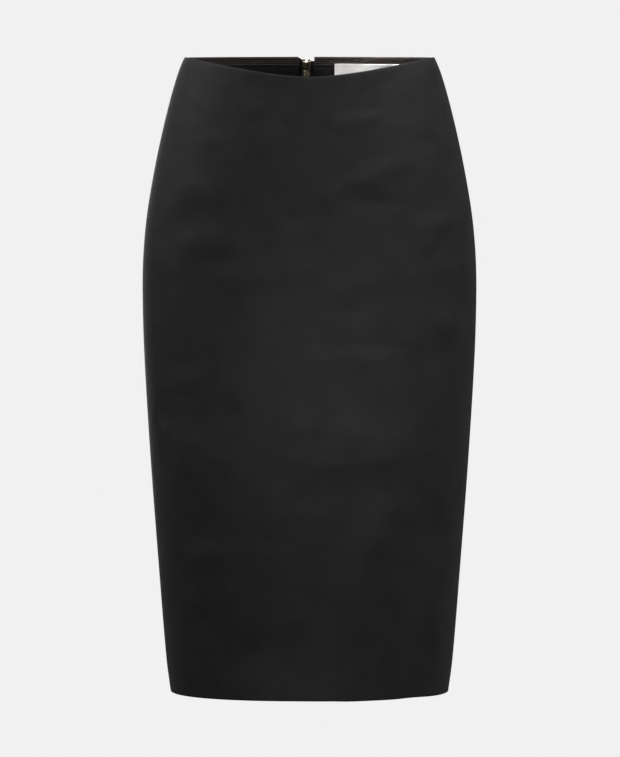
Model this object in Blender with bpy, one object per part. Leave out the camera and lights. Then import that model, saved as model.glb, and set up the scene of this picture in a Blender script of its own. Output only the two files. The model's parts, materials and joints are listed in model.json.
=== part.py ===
"""A knee-length pencil skirt with an exposed back zip, filled out and open at both ends.

Frame: metres, +Z up, the front towards -Y, the wearer's left towards +X. The origin is the
centre of the waist, where the wearer holds the skirt up.

Each cloth piece is a wall made on one surface. A place on that surface has three numbers:
its level, which is the height before the waist edge is shaped; its distance across, measured
along the section from the centre front or the centre back; and its depth in from the cloth's
outer face.
"""

import math
from functools import lru_cache
from typing import Callable, NamedTuple

import bmesh
import bpy
from mathutils import Matrix, Vector

# ---------------------------------------------------------------- driving dimensions, metres

HEM_LEVEL = -0.632
WAIST_DIP_FRONT = 0.0226        # centre front of the waist edge, below the side seams
WAIST_DIP_POWER = 1.65
WAIST_RISE_BACK = 0.0048        # centre back of the waist edge, above the side seams
WAIST_SHAPE_HEIGHT = 0.120      # below this height the rows of the cloth are level

CLOTH = 0.0015
FACING = 0.0010
ZIP_TAPE = 0.0010
LABEL = 0.0010
GAP = 0.0003

HEM_TURN = 0.040                # height of the turned-up hem
HEM_TURN_CLOTH = 0.0012         # what the turned-up layer adds to the wall

WAIST_TAPE_HEIGHT = 0.0085
WAIST_TAPE_DROP = 0.0004        # top of the waist tape below the waist edge
WAIST_TAPE_FOOT = -WAIST_TAPE_DROP - WAIST_TAPE_HEIGHT
FACING_HEIGHT = 0.050           # foot of the facing below the waist edge

LABEL_START = 0.0250            # from the centre back towards the wearer's left
LABEL_WIDTH = 0.0760
LABEL_TOP = 0.0066              # below the waist edge
LABEL_HEIGHT = 0.0250
LABEL_GAP = 0.0006              # its points fall between the facing's

CENTRE_BACK = -0.0032           # centre line of the zip and of the centre-back seam
ZIP_WINDOW = 0.0162             # width of the gap that the zip shows in
ZIP_WINDOW_FOOT = -0.2045
ZIP_WINDOW_CORNER = 0.0012      # height over which the window narrows to the seam
SLIT_TOP = -0.452
SLIT_WIDTH_AT_HEM = 0.0040

CHAIN_WIDTH = 0.0062
CHAIN_THICKNESS = 0.0026
CHAIN_TOP = -0.0070
CHAIN_FOOT = -0.1985
ZIP_TAPE_WIDTH = 0.0117
ZIP_TAPE_TOP = -0.0040
ZIP_TAPE_FOOT = -0.2150
STOP_LENGTH = 0.0036

SLIDER_LEVEL = -0.0084
SLIDER_LENGTH = 0.0090
SLIDER_PLATE = 0.0010
SLIDER_FLANGE = 0.0011
SLIDER_POST_WIDTH = 0.0024
SLIDER_POST_LENGTH = 0.0024
BRIDGE_WIDTH = 0.0016
BRIDGE_RADIUS_IN = 0.0020
BRIDGE_RADIUS_OUT = 0.0030
BRIDGE_OFFSET = 0.0004          # the bridge's centre above the slider's centre

PULL_THICKNESS = 0.0012
PULL_LENGTH = 0.0260            # from the hinge to the tip
PULL_WIDTH_TOP = 0.0052
PULL_WIDTH_FOOT = 0.0066
PULL_EYE_WIDTH = 0.0026
PULL_EYE_LENGTH = 0.0028
PULL_REST_TILT = math.radians(1.5)

PANEL_ROWS = 29                 # below the facing
FACING_ROWS = 3
FRONT_COLUMNS = 34
BACK_COLUMNS = 18


class Section(NamedTuple):
    """One level cut through the outside of the skirt."""

    level: float
    half_width: float
    front: float                # depth from the side seams to the centre front
    back: float                 # depth from the side seams to the centre back
    power: float                # 2 is an ellipse, more is squarer


SECTIONS = (
    Section(0.000, 0.1246, 0.0880, 0.0975, 2.26),
    Section(-0.015, 0.1307, 0.0895, 0.1000, 2.27),
    Section(-0.040, 0.1382, 0.0925, 0.1045, 2.28),
    Section(-0.080, 0.1480, 0.0965, 0.1125, 2.30),
    Section(-0.120, 0.1561, 0.0995, 0.1205, 2.31),
    Section(-0.160, 0.1625, 0.1015, 0.1275, 2.32),
    Section(-0.200, 0.1659, 0.1030, 0.1320, 2.33),
    Section(-0.240, 0.1665, 0.1040, 0.1325, 2.34),
    Section(-0.300, 0.1647, 0.1055, 0.1275, 2.35),
    Section(-0.400, 0.1587, 0.1075, 0.1160, 2.36),
    Section(-0.500, 0.1512, 0.1090, 0.1090, 2.37),
    Section(-0.600, 0.1431, 0.1098, 0.1065, 2.37),
    Section(-0.632, 0.1389, 0.1100, 0.1060, 2.37),
)


class Fold(NamedTuple):
    """A soft ridge (height above 0) or trough (below 0) along a line in the cloth."""

    back: bool
    start_across: float
    start_level: float
    end_across: float
    end_level: float
    spread: float               # distance at which the fold has nearly died away
    height: float
    bow: float = 0.0            # how far the middle of its line lies off the straight


FOLDS = (
    Fold(False, 0.106, -0.645, 0.142, -0.385, 0.030, -0.0046),
    Fold(False, 0.042, -0.645, 0.092, -0.400, 0.024, 0.0040, 0.018),
    Fold(False, -0.040, -0.388, 0.150, -0.374, 0.036, 0.0022, -0.006),
    Fold(False, -0.158, -0.395, -0.040, -0.405, 0.042, 0.0022),
    Fold(False, -0.105, -0.583, 0.040, -0.592, 0.032, -0.0017),
    Fold(False, -0.150, -0.118, -0.070, -0.150, 0.024, 0.0018),
    Fold(False, -0.150, -0.180, -0.045, -0.190, 0.020, 0.0015),
    Fold(False, -0.014, -0.152, 0.112, -0.098, 0.015, 0.0016),
    Fold(False, 0.122, -0.214, 0.180, -0.204, 0.020, 0.0017),
    Fold(False, 0.118, -0.268, 0.175, -0.258, 0.022, 0.0018),
    Fold(True, -0.058, -0.645, -0.098, -0.430, 0.024, 0.0036, -0.010),
    Fold(True, -0.116, -0.645, -0.140, -0.410, 0.030, -0.0040),
    Fold(True, 0.064, -0.645, 0.088, -0.455, 0.026, 0.0032, 0.006),
    Fold(True, 0.045, -0.392, 0.150, -0.378, 0.034, 0.0024),
    Fold(True, -0.150, -0.360, -0.042, -0.374, 0.030, 0.0022),
    Fold(True, -0.160, -0.250, -0.060, -0.268, 0.024, 0.0018),
    Fold(True, 0.050, -0.262, 0.165, -0.246, 0.022, 0.0017),
    Fold(True, 0.060, -0.590, 0.140, -0.580, 0.028, -0.0020),
)

FOLD_MARGIN_SEAM = 0.022        # folds die away this far from a side seam
FOLD_MARGIN_ZIP = 0.030         # and this far from the centre back
FOLD_END_SHARE = 0.35           # share of its length over which a fold's end dies away

QUARTER_STEPS = 160
NORMAL_STEP = 0.0006

# colour as red, green, blue; roughness; metallic
FINISHES = {
    "skirt_cloth": ((0.022, 0.022, 0.023), 0.78, 0.0),
    "facing_cloth": ((0.012, 0.011, 0.011), 0.85, 0.0),
    "ribbed_tape": ((0.050, 0.038, 0.034), 0.70, 0.0),
    "label_satin": ((0.840, 0.840, 0.820), 0.45, 0.0),
    "zip_tape": ((0.010, 0.010, 0.010), 0.80, 0.0),
    "zip_metal": ((0.780, 0.620, 0.380), 0.28, 1.0),
}


# ---------------------------------------------------------------- the surface of the cloth


def ease(share: float) -> float:
    """Return 0 below 0, 1 above 1, and a smooth rise between them."""
    inside = min(1.0, max(0.0, share))
    return inside * inside * (3.0 - 2.0 * inside)


def section_value(level: float, column: str) -> float:
    """Return one column of the section table at any level, on a smooth curve."""
    rows = SECTIONS
    index = 0
    while index < len(rows) - 2 and level < rows[index + 1].level:
        index += 1

    def slope(place: int) -> float:
        """Return the curve's slope at one row of the table."""
        before = rows[max(place - 1, 0)]
        after = rows[min(place + 1, len(rows) - 1)]
        return (getattr(after, column) - getattr(before, column)) / (after.level - before.level)

    upper, lower = rows[index], rows[index + 1]
    step = lower.level - upper.level
    share = (level - upper.level) / step
    value = getattr(upper, column) * (1 + 2 * share) * (1 - share) ** 2
    value += getattr(lower, column) * share * share * (3 - 2 * share)
    value += slope(index) * step * share * (1 - share) ** 2
    value += slope(index + 1) * step * share * share * (share - 1)
    return value


@lru_cache(maxsize=None)
def quarter(level: float, back: bool) -> tuple:
    """Return the places and lengths along a quarter of a section, from its centre outwards."""
    half_width = section_value(level, "half_width")
    depth = section_value(level, "back" if back else "front")
    power = 2.0 / section_value(level, "power")
    places = []
    length = 0.0
    for step in range(QUARTER_STEPS + 1):
        turn = 0.5 * math.pi * step / QUARTER_STEPS
        place = Vector((half_width * abs(math.sin(turn)) ** power,
                        depth * abs(math.cos(turn)) ** power))
        if places:
            length += (place - places[-1][0]).length
        places.append((place, length))
    return tuple(places)


def half_length(level: float, back: bool) -> float:
    """Return the distance along a section from its centre to a side seam."""
    return quarter(level, back)[-1][1]


def section_point(level: float, back: bool, across: float) -> Vector:
    """Return the point of a section at a distance across from its centre."""
    places = quarter(level, back)
    wanted = min(abs(across), places[-1][1])
    low, high = 0, len(places) - 1
    while high - low > 1:
        middle = (low + high) // 2
        if places[middle][1] <= wanted:
            low = middle
        else:
            high = middle
    share = (wanted - places[low][1]) / (places[high][1] - places[low][1])
    place = places[low][0].lerp(places[high][0], share)
    return Vector((math.copysign(place.x, across), place.y if back else -place.y, level))


def waist_shift(level: float, back: bool, point: Vector) -> float:
    """Return how far the waist edge's shape moves a point up or down."""
    fade = ease(1.0 + level / WAIST_SHAPE_HEIGHT)
    if back:
        return WAIST_RISE_BACK * fade * abs(point.y) / section_value(level, "back")
    share = min(1.0, abs(point.x) / section_value(level, "half_width"))
    return -WAIST_DIP_FRONT * fade * (1.0 - share ** WAIST_DIP_POWER)


def smooth_point(level: float, back: bool, across: float) -> Vector:
    """Return the point of the cloth's outer face before its folds."""
    point = section_point(level, back, across)
    point.z += waist_shift(level, back, point)
    return point


def outward(level: float, back: bool, across: float) -> Vector:
    """Return the cloth's outward direction, level with the side seams at the seams themselves."""
    limit = half_length(level, back)
    near = max(-limit, min(limit - NORMAL_STEP, across - 0.5 * NORMAL_STEP))
    sideways = smooth_point(level, back, near + NORMAL_STEP) - smooth_point(level, back, near)
    share = across / limit
    above = level + NORMAL_STEP
    below = level - NORMAL_STEP
    upwards = (smooth_point(above, back, share * half_length(above, back))
               - smooth_point(below, back, share * half_length(below, back)))
    normal = sideways.cross(upwards).normalized()
    return -normal if back else normal


def fold_height(level: float, back: bool, across: float) -> float:
    """Return how far the folds move the cloth out at one place."""
    height = 0.0
    for fold in FOLDS:
        if fold.back != back:
            continue
        start = Vector((fold.start_across, fold.start_level))
        along = Vector((fold.end_across, fold.end_level)) - start
        place = Vector((across, level)) - start
        share = place.dot(along) / along.length_squared
        inside = min(1.0, max(0.0, share))
        bowed = 4.0 * fold.bow * inside * (1.0 - inside)
        beside = (place.y * along.x - place.x * along.y) / along.length - bowed
        away = math.hypot((share - inside) * along.length, beside) / fold.spread
        ends = min(share, 1.0 - share) / FOLD_END_SHARE
        if start.y <= HEM_LEVEL:
            ends = (1.0 - share) / FOLD_END_SHARE
        height += fold.height * math.exp(-2.0 * away * away) * ease(ends)
    height *= ease((half_length(level, back) - abs(across)) / FOLD_MARGIN_SEAM)
    if back:
        height *= ease((abs(across - CENTRE_BACK) - 0.5 * ZIP_WINDOW) / FOLD_MARGIN_ZIP)
    return height


def cloth_point(level: float, back: bool, across: float, depth: float) -> Vector:
    """Return a point at a depth in from the cloth's outer face, folds included."""
    move = fold_height(level, back, across) - depth
    return smooth_point(level, back, across) + outward(level, back, across) * move


# ---------------------------------------------------------------- making objects


def clear_scene() -> None:
    """Remove every object that the scene starts with."""
    for thing in list(bpy.data.objects):
        bpy.data.objects.remove(thing, do_unlink=True)


def finish_named(name: str) -> bpy.types.Material:
    """Return the material of one finish, made when it is first asked for."""
    if name in bpy.data.materials:
        return bpy.data.materials[name]
    colour, roughness, metallic = FINISHES[name]
    material = bpy.data.materials.new(name)
    material.use_nodes = True
    shader = material.node_tree.nodes["Principled BSDF"]
    shader.inputs["Base Color"].default_value = (*colour, 1.0)
    shader.inputs["Roughness"].default_value = roughness
    shader.inputs["Metallic"].default_value = metallic
    return material


def face_outwards(form: bmesh.types.BMesh) -> None:
    """Point every face of one closed body outwards."""
    bmesh.ops.recalc_face_normals(form, faces=form.faces)
    if form.calc_volume(signed=True) < 0.0:
        bmesh.ops.reverse_faces(form, faces=form.faces)


def add_object(name: str, form: bmesh.types.BMesh, finish: str) -> bpy.types.Object:
    """Make a scene object from a mesh under construction."""
    mesh = bpy.data.meshes.new(name)
    form.to_mesh(mesh)
    form.free()
    thing = bpy.data.objects.new(name, mesh)
    bpy.context.scene.collection.objects.link(thing)
    mesh.materials.append(finish_named(finish))
    return thing


def cloth_wall(name: str, finish: str, back: bool, levels: list, columns: int,
               edges: Callable[[float], tuple], depth: Callable[[float, float], float],
               thickness: Callable[[float], float]) -> bpy.types.Object:
    """Make one flat-cut piece as a closed wall on the skirt's surface.

    edges gives the piece's two sides, as distances across, at a level; depth gives how far in
    its outer face lies at a distance across and a level; thickness gives its wall at a level.
    """
    rows = len(levels) - 1
    form = bmesh.new()
    bmesh.ops.create_grid(form, x_segments=columns, y_segments=rows, size=1.0)
    made = bmesh.ops.extrude_face_region(form, geom=form.faces[:], use_keep_orig=True)
    inner = [piece for piece in made["geom"] if isinstance(piece, bmesh.types.BMVert)]
    bmesh.ops.translate(form, verts=inner, vec=(0.0, 0.0, 1.0))
    for vertex in form.verts:
        column_share = 0.5 * (vertex.co.x + 1.0)
        level = levels[round(0.5 * (1.0 - vertex.co.y) * rows)]
        first, last = edges(level)
        across = first + (last - first) * column_share
        inwards = depth(across, level) + vertex.co.z * thickness(level)
        vertex.co = cloth_point(level, back, across, inwards)
    face_outwards(form)
    for face in form.faces:
        face.smooth = True
    thing = add_object(name, form, finish)
    thing.data.set_sharp_from_angle(angle=math.radians(35.0))
    return thing


def even_levels(top: float, foot: float, rows: int) -> list:
    """Return evenly spaced levels from the top to the foot, both included."""
    return [top + (foot - top) * step / rows for step in range(rows + 1)]


# ---------------------------------------------------------------- skirt panels


def hem_thickness(level: float) -> float:
    """Return the cloth's thickness, doubled where the hem is turned up."""
    return CLOTH + (HEM_TURN_CLOTH if level < HEM_LEVEL + HEM_TURN else 0.0)


def panel_levels() -> list:
    """Return the panels' levels: the facing's own, and close rows where the hem turn starts."""
    turn = HEM_LEVEL + HEM_TURN
    levels = [0.0] + even_levels(WAIST_TAPE_FOOT, -FACING_HEIGHT, FACING_ROWS)
    levels += even_levels(-FACING_HEIGHT, turn + GAP, PANEL_ROWS)[1:]
    levels += even_levels(turn - GAP, HEM_LEVEL, 2)
    return levels


def levels_between(top: float, foot: float) -> list:
    """Return a top, the back panels' levels below it, and a foot."""
    spare = 0.001
    inside = [level for level in back_levels() if foot + spare < level < top - spare]
    return [top] + inside + [foot]


def back_levels() -> list:
    """Return the back panels' levels, with close rows at the foot of the zip's window."""
    corner = [ZIP_WINDOW_FOOT, ZIP_WINDOW_FOOT - ZIP_WINDOW_CORNER]
    spare = 0.004
    others = [level for level in panel_levels()
              if level > corner[0] + spare or level < corner[1] - spare]
    return sorted(others + corner, reverse=True)


def centre_gap(level: float) -> float:
    """Return half the distance between the two back panels."""
    open_slit = max(0.0, SLIT_TOP - level) / (SLIT_TOP - HEM_LEVEL)
    closed = 0.5 * GAP + 0.5 * SLIT_WIDTH_AT_HEM * open_slit
    window = ease((level - ZIP_WINDOW_FOOT + ZIP_WINDOW_CORNER) / ZIP_WINDOW_CORNER)
    return closed + (0.5 * ZIP_WINDOW - closed) * window


def front_edges(level: float) -> tuple:
    """Return the sides of a piece that runs from side seam to side seam at the front."""
    side = half_length(level, False) - 0.5 * GAP
    return -side, side


def back_edges(level: float, left: bool) -> tuple:
    """Return the sides of a piece that runs from the centre back to one side seam."""
    side = half_length(level, True) - 0.5 * GAP
    if left:
        return CENTRE_BACK + centre_gap(level), side
    return -side, CENTRE_BACK - centre_gap(level)


def make_panels() -> None:
    """Make the front and the two backs."""
    cloth_wall("front_panel", "skirt_cloth", False, panel_levels(), FRONT_COLUMNS,
               front_edges, lambda across, level: 0.0, hem_thickness)
    for name, left in (("back_panel_left", True), ("back_panel_right", False)):
        cloth_wall(name, "skirt_cloth", True, back_levels(), BACK_COLUMNS,
                   lambda level, left=left: back_edges(level, left),
                   lambda across, level: 0.0, hem_thickness)


# ---------------------------------------------------------------- waist tape, facing, label


def lining_depth(across: float, level: float) -> float:
    """Return the depth of the facing's outer face, deeper where it lies on a zip tape."""
    reach = 0.5 * CHAIN_WIDTH + GAP + ZIP_TAPE_WIDTH
    past_tape = (abs(across - CENTRE_BACK) - GAP) / reach - 1.0
    near_zip = ease(1.0 - past_tape)
    return CLOTH + GAP + (ZIP_TAPE + GAP) * near_zip


def make_waist_finish() -> None:
    """Make the ribbed waist tape, and the facing below it, in three lengths each."""
    tape_levels = [-WAIST_TAPE_DROP, WAIST_TAPE_FOOT]
    facing_levels = even_levels(WAIST_TAPE_FOOT, -FACING_HEIGHT, FACING_ROWS)
    facing_levels[0] -= GAP
    for kind, finish, levels in (("waist_tape", "ribbed_tape", tape_levels),
                                 ("facing", "facing_cloth", facing_levels)):
        cloth_wall(f"{kind}_front", finish, False, levels, FRONT_COLUMNS,
                   front_edges, lambda across, level: CLOTH + GAP, lambda level: FACING)
        for side, left in (("left", True), ("right", False)):
            cloth_wall(f"{kind}_back_{side}", finish, True, levels, BACK_COLUMNS,
                       lambda level, left=left: back_edges(level, left),
                       lining_depth, lambda level: FACING)


def make_label() -> None:
    """Make the blank label, on the waist tape and the facing of the wearer's left back."""
    cloth_wall("label", "label_satin", True,
               even_levels(-LABEL_TOP, -LABEL_TOP - LABEL_HEIGHT, 3), 10,
               lambda level: (LABEL_START, LABEL_START + LABEL_WIDTH),
               lambda across, level: lining_depth(across, level) + FACING + LABEL_GAP,
               lambda level: LABEL)


# ---------------------------------------------------------------- zip

TAPE_DEPTH = CLOTH + GAP                       # outer face of the zip tapes
ZIP_PLANE = TAPE_DEPTH + 0.5 * ZIP_TAPE        # middle of the tapes and of the teeth


def zip_place(level: float, height: float = 0.0) -> Matrix:
    """Return the frame of the zip's centre line at a level.

    Its X runs across the zip, its Y out of the skirt and its Z up along the zip. height moves
    the frame out from the middle of the tapes.
    """
    step = 0.002
    above = cloth_point(level + step, True, CENTRE_BACK, ZIP_PLANE)
    below = cloth_point(level - step, True, CENTRE_BACK, ZIP_PLANE)
    tilt = math.atan2(below.y - above.y, above.z - below.z)
    turn = Matrix.Rotation(tilt, 4, "X")
    middle = cloth_point(level, True, CENTRE_BACK, ZIP_PLANE)
    return Matrix.Translation(middle) @ turn @ Matrix.Translation((0.0, height, 0.0))


def make_zip_cloth_and_chain() -> None:
    """Make the two woven tapes and the closed chain between them."""
    inner = 0.5 * CHAIN_WIDTH + GAP
    outer = inner + ZIP_TAPE_WIDTH
    tape_levels = levels_between(ZIP_TAPE_TOP, ZIP_TAPE_FOOT)
    for side, first, last in (("left", inner, outer), ("right", -outer, -inner)):
        cloth_wall(f"zip_tape_{side}", "zip_tape", True, tape_levels, 3,
                   lambda level, first=first, last=last: (CENTRE_BACK + first,
                                                          CENTRE_BACK + last),
                   lambda across, level: TAPE_DEPTH, lambda level: ZIP_TAPE)
    half = 0.5 * CHAIN_WIDTH
    chain_depth = ZIP_PLANE - 0.5 * CHAIN_THICKNESS
    for name, top, foot in (
            ("zip_chain", CHAIN_TOP, CHAIN_FOOT),
            ("zip_stop_bottom", CHAIN_FOOT - GAP, CHAIN_FOOT - GAP - STOP_LENGTH)):
        cloth_wall(name, "zip_metal", True, levels_between(top, foot), 2,
                   lambda level: (CENTRE_BACK - half, CENTRE_BACK + half),
                   lambda across, level: chain_depth, lambda level: CHAIN_THICKNESS)


def extruded(outline: list, low: float, high: float, along: str) -> bmesh.types.BMesh:
    """Return a prism of a flat outline.

    The outline holds (across, up) pairs. along is "Z" for a prism that stands on X and Y, and
    "X" for one whose outline lies in Y and Z.
    """
    form = bmesh.new()
    corners = []
    for first, second in outline:
        place = (first, second, low) if along == "Z" else (low, first, second)
        corners.append(form.verts.new(place))
    face = form.faces.new(corners)
    made = bmesh.ops.extrude_face_region(form, geom=[face], use_keep_orig=True)
    moved = [piece for piece in made["geom"] if isinstance(piece, bmesh.types.BMVert)]
    travel = high - low
    step = (0.0, 0.0, travel) if along == "Z" else (travel, 0.0, 0.0)
    bmesh.ops.translate(form, verts=moved, vec=step)
    face_outwards(form)
    return form


def joined(base: bpy.types.Object, extra: bpy.types.Object) -> None:
    """Unite an extra form with a base, as one body."""
    extra.hide_render = True
    extra.display_type = "WIRE"
    extra.matrix_world = base.matrix_world
    union = base.modifiers.new(f"with_{extra.name}", "BOOLEAN")
    union.operation = "UNION"
    union.object = extra


def make_slider() -> None:
    """Make the slider: two flanged plates round the chain, the post between, and the bridge."""
    half_length_z = 0.5 * SLIDER_LENGTH
    cavity = 0.5 * CHAIN_THICKNESS + GAP
    face = cavity + SLIDER_PLATE
    flange_in = 0.5 * CHAIN_WIDTH + GAP
    flange_out = flange_in + SLIDER_FLANGE
    slot = 0.5 * ZIP_TAPE + GAP
    plate = [(-flange_out, face), (-flange_out, slot), (-flange_in, slot), (-flange_in, cavity),
             (flange_in, cavity), (flange_in, slot), (flange_out, slot), (flange_out, face)]
    place = zip_place(SLIDER_LEVEL)
    slider = add_object("zip_slider", extruded(plate, -half_length_z, half_length_z, "Z"),
                        "zip_metal")
    slider.matrix_world = place
    inner_plate = [(across, -out) for across, out in plate]
    half_post = 0.5 * SLIDER_POST_WIDTH
    sunk = 0.5 * SLIDER_PLATE
    post = [(-half_post, -cavity - sunk), (half_post, -cavity - sunk),
            (half_post, cavity + sunk), (-half_post, cavity + sunk)]
    bridge = bridge_outline(face, face - sunk)
    half_bridge = 0.5 * BRIDGE_WIDTH
    post_foot = half_length_z - SLIDER_POST_LENGTH
    extras = (
        ("slider_inner_plate", extruded(inner_plate, -half_length_z, half_length_z, "Z")),
        ("slider_post", extruded(post, post_foot, half_length_z - sunk, "Z")),
        ("slider_bridge", extruded(bridge, -half_bridge, half_bridge, "X")),
    )
    for name, form in extras:
        joined(slider, add_object(name, form, "zip_metal"))


def hinge_height() -> float:
    """Return how far the pull's hinge lies out from the middle of the tapes."""
    face = 0.5 * CHAIN_THICKNESS + GAP + SLIDER_PLATE
    return face + 0.5 * PULL_THICKNESS + GAP


def bridge_outline(face: float, foot: float) -> list:
    """Return the arch that stands on the slider's face, round the pull's hinge."""
    steps = 10
    centre = hinge_height()
    outline = [(foot, BRIDGE_OFFSET - BRIDGE_RADIUS_OUT)]
    for step in range(steps + 1):
        turn = math.pi * step / steps
        outline.append((centre + BRIDGE_RADIUS_OUT * math.sin(turn),
                        BRIDGE_OFFSET - BRIDGE_RADIUS_OUT * math.cos(turn)))
    outline.append((foot, BRIDGE_OFFSET + BRIDGE_RADIUS_OUT))
    outline.append((foot, BRIDGE_OFFSET + BRIDGE_RADIUS_IN))
    outline.append((face, BRIDGE_OFFSET + BRIDGE_RADIUS_IN))
    for step in range(steps + 1):
        turn = math.pi * (1.0 - step / steps)
        outline.append((centre + BRIDGE_RADIUS_IN * math.sin(turn),
                        BRIDGE_OFFSET - BRIDGE_RADIUS_IN * math.cos(turn)))
    outline.append((face, BRIDGE_OFFSET - BRIDGE_RADIUS_IN))
    outline.append((foot, BRIDGE_OFFSET - BRIDGE_RADIUS_IN))
    return outline


def pull_width(drop: float) -> float:
    """Return half the pull's width at a distance below the hinge, without its round end."""
    share = ease(drop / PULL_LENGTH)
    return 0.5 * (PULL_WIDTH_TOP + (PULL_WIDTH_FOOT - PULL_WIDTH_TOP) * share)


def pull_loops() -> tuple:
    """Return the pull's outline and its eye, with as many points each, all round its hinge."""
    top = 0.5 * PULL_THICKNESS
    half_eye = 0.5 * PULL_EYE_WIDTH
    eye_top = -0.5 * PULL_THICKNESS
    eye_foot = eye_top - PULL_EYE_LENGTH
    outline = [(-0.5 * PULL_WIDTH_TOP, top)]
    eye = [(-half_eye, eye_top)]
    side_drops = (0.0034, 0.0080, 0.0150)
    for drop in side_drops:
        outline.append((-pull_width(drop), -drop))
        eye.append((-half_eye, eye_top + (eye_foot - eye_top) * drop / side_drops[-1]))
    round_steps = 8
    round_drop = PULL_LENGTH - 0.5 * PULL_WIDTH_FOOT
    for step in range(round_steps + 1):
        turn = math.pi * step / round_steps
        width = pull_width(round_drop)
        outline.append((-width * math.cos(turn), -round_drop - width * math.sin(turn)))
        eye.append((-half_eye * math.cos(turn), eye_foot - 0.0002 * math.sin(turn)))
    for drop in reversed(side_drops):
        outline.append((pull_width(drop), -drop))
        eye.append((half_eye, eye_top + (eye_foot - eye_top) * drop / side_drops[-1]))
    outline.append((0.5 * PULL_WIDTH_TOP, top))
    eye.append((half_eye, eye_top))
    return outline, eye


def make_pull() -> None:
    """Make the pull tab, whose object origin lies on its hinge's axis."""
    form = bmesh.new()
    half = 0.5 * PULL_THICKNESS
    loops = []
    for outline in pull_loops():
        corners = [form.verts.new((across, -half, up)) for across, up in outline]
        loops += [form.edges.new((corners[place - 1], corners[place]))
                  for place in range(len(corners))]
    bmesh.ops.bridge_loops(form, edges=loops)
    made = bmesh.ops.extrude_face_region(form, geom=form.faces[:], use_keep_orig=True)
    moved = [piece for piece in made["geom"] if isinstance(piece, bmesh.types.BMVert)]
    bmesh.ops.translate(form, verts=moved, vec=(0.0, PULL_THICKNESS, 0.0))
    face_outwards(form)
    pull = add_object("zip_pull", form, "zip_metal")
    hinge = zip_place(SLIDER_LEVEL, hinge_height()) @ Matrix.Translation((0.0, 0.0, BRIDGE_OFFSET))
    pull.matrix_world = hinge @ Matrix.Rotation(-PULL_REST_TILT, 4, "X")


# ---------------------------------------------------------------- the whole skirt


def main() -> None:
    """Make every piece of the skirt."""
    clear_scene()
    make_panels()
    make_waist_finish()
    make_label()
    make_zip_cloth_and_chain()
    make_slider()
    make_pull()


main()
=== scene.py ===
"""Looks of a knee-length pencil skirt with an exposed back zip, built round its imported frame.

Frame: metres, +Z up, the front towards -Y, the wearer's left towards +X. The origin is the
centre of the waist.

Each cloth piece starts as its flat cut, a slab with soft rims, and is then wrapped onto one
surface. A place on that surface has three numbers: its distance across, measured along the
section from the centre front or the centre back; its level, which is the height before the
waist edge is shaped; and its depth in from the cloth's outer face.
"""

import json
import logging
import math
from dataclasses import dataclass, field
from enum import Enum
from typing import Callable, NamedTuple, Sequence

import bmesh
import bpy
import numpy as np
from bmesh.types import BMEdge, BMesh, BMFace, BMVert
from bpy.types import Material, Mesh, Node, NodeSocket, Object
from mathutils import Matrix, Vector

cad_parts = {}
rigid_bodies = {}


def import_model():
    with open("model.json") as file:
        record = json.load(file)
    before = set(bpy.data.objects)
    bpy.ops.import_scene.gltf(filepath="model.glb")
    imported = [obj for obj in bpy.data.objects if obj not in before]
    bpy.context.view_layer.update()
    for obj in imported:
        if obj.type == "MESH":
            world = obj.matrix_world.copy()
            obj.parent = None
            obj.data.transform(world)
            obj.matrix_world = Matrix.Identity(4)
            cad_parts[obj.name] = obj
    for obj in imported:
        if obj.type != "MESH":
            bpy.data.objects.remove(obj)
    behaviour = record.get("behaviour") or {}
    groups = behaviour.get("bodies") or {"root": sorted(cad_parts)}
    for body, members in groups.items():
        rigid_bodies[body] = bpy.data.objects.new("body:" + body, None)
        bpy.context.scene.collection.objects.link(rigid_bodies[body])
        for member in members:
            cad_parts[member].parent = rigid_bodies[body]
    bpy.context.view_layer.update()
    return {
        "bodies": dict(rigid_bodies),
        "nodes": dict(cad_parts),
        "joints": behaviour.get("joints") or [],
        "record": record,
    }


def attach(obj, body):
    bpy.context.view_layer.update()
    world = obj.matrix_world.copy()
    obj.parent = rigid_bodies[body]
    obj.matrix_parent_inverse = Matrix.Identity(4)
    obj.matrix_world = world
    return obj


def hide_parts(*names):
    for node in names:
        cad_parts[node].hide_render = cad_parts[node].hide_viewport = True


LOG = logging.getLogger("pencil_skirt")
FLAT_CUT = "flat_cut"               # name of the UV map that holds a piece's flat cut, in metres
SEAM_GAP = 0.00004                  # half the gap between two panels at a seam

Colour = tuple[float, float, float]
Place = tuple[float, float]         # a distance across and a level
Line = Callable[[np.ndarray], np.ndarray]                       # distances across, at levels
Reach = Callable[[np.ndarray], tuple[np.ndarray, np.ndarray]]   # those of two edges
Amount = Callable[[np.ndarray, np.ndarray], np.ndarray]         # an amount, at places


class Side(Enum):
    """Which half of the skirt a place is on; the value names its column of the sections."""

    FRONT = "front"
    BACK = "back"


# ---------------- shape of the skirt


class Section(NamedTuple):
    """One level cut through the outside of the skirt."""

    level: float
    half_width: float
    front: float                # depth from the side seams to the centre front
    back: float                 # depth from the side seams to the centre back
    power: float                # 2 is an ellipse, more is squarer


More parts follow.
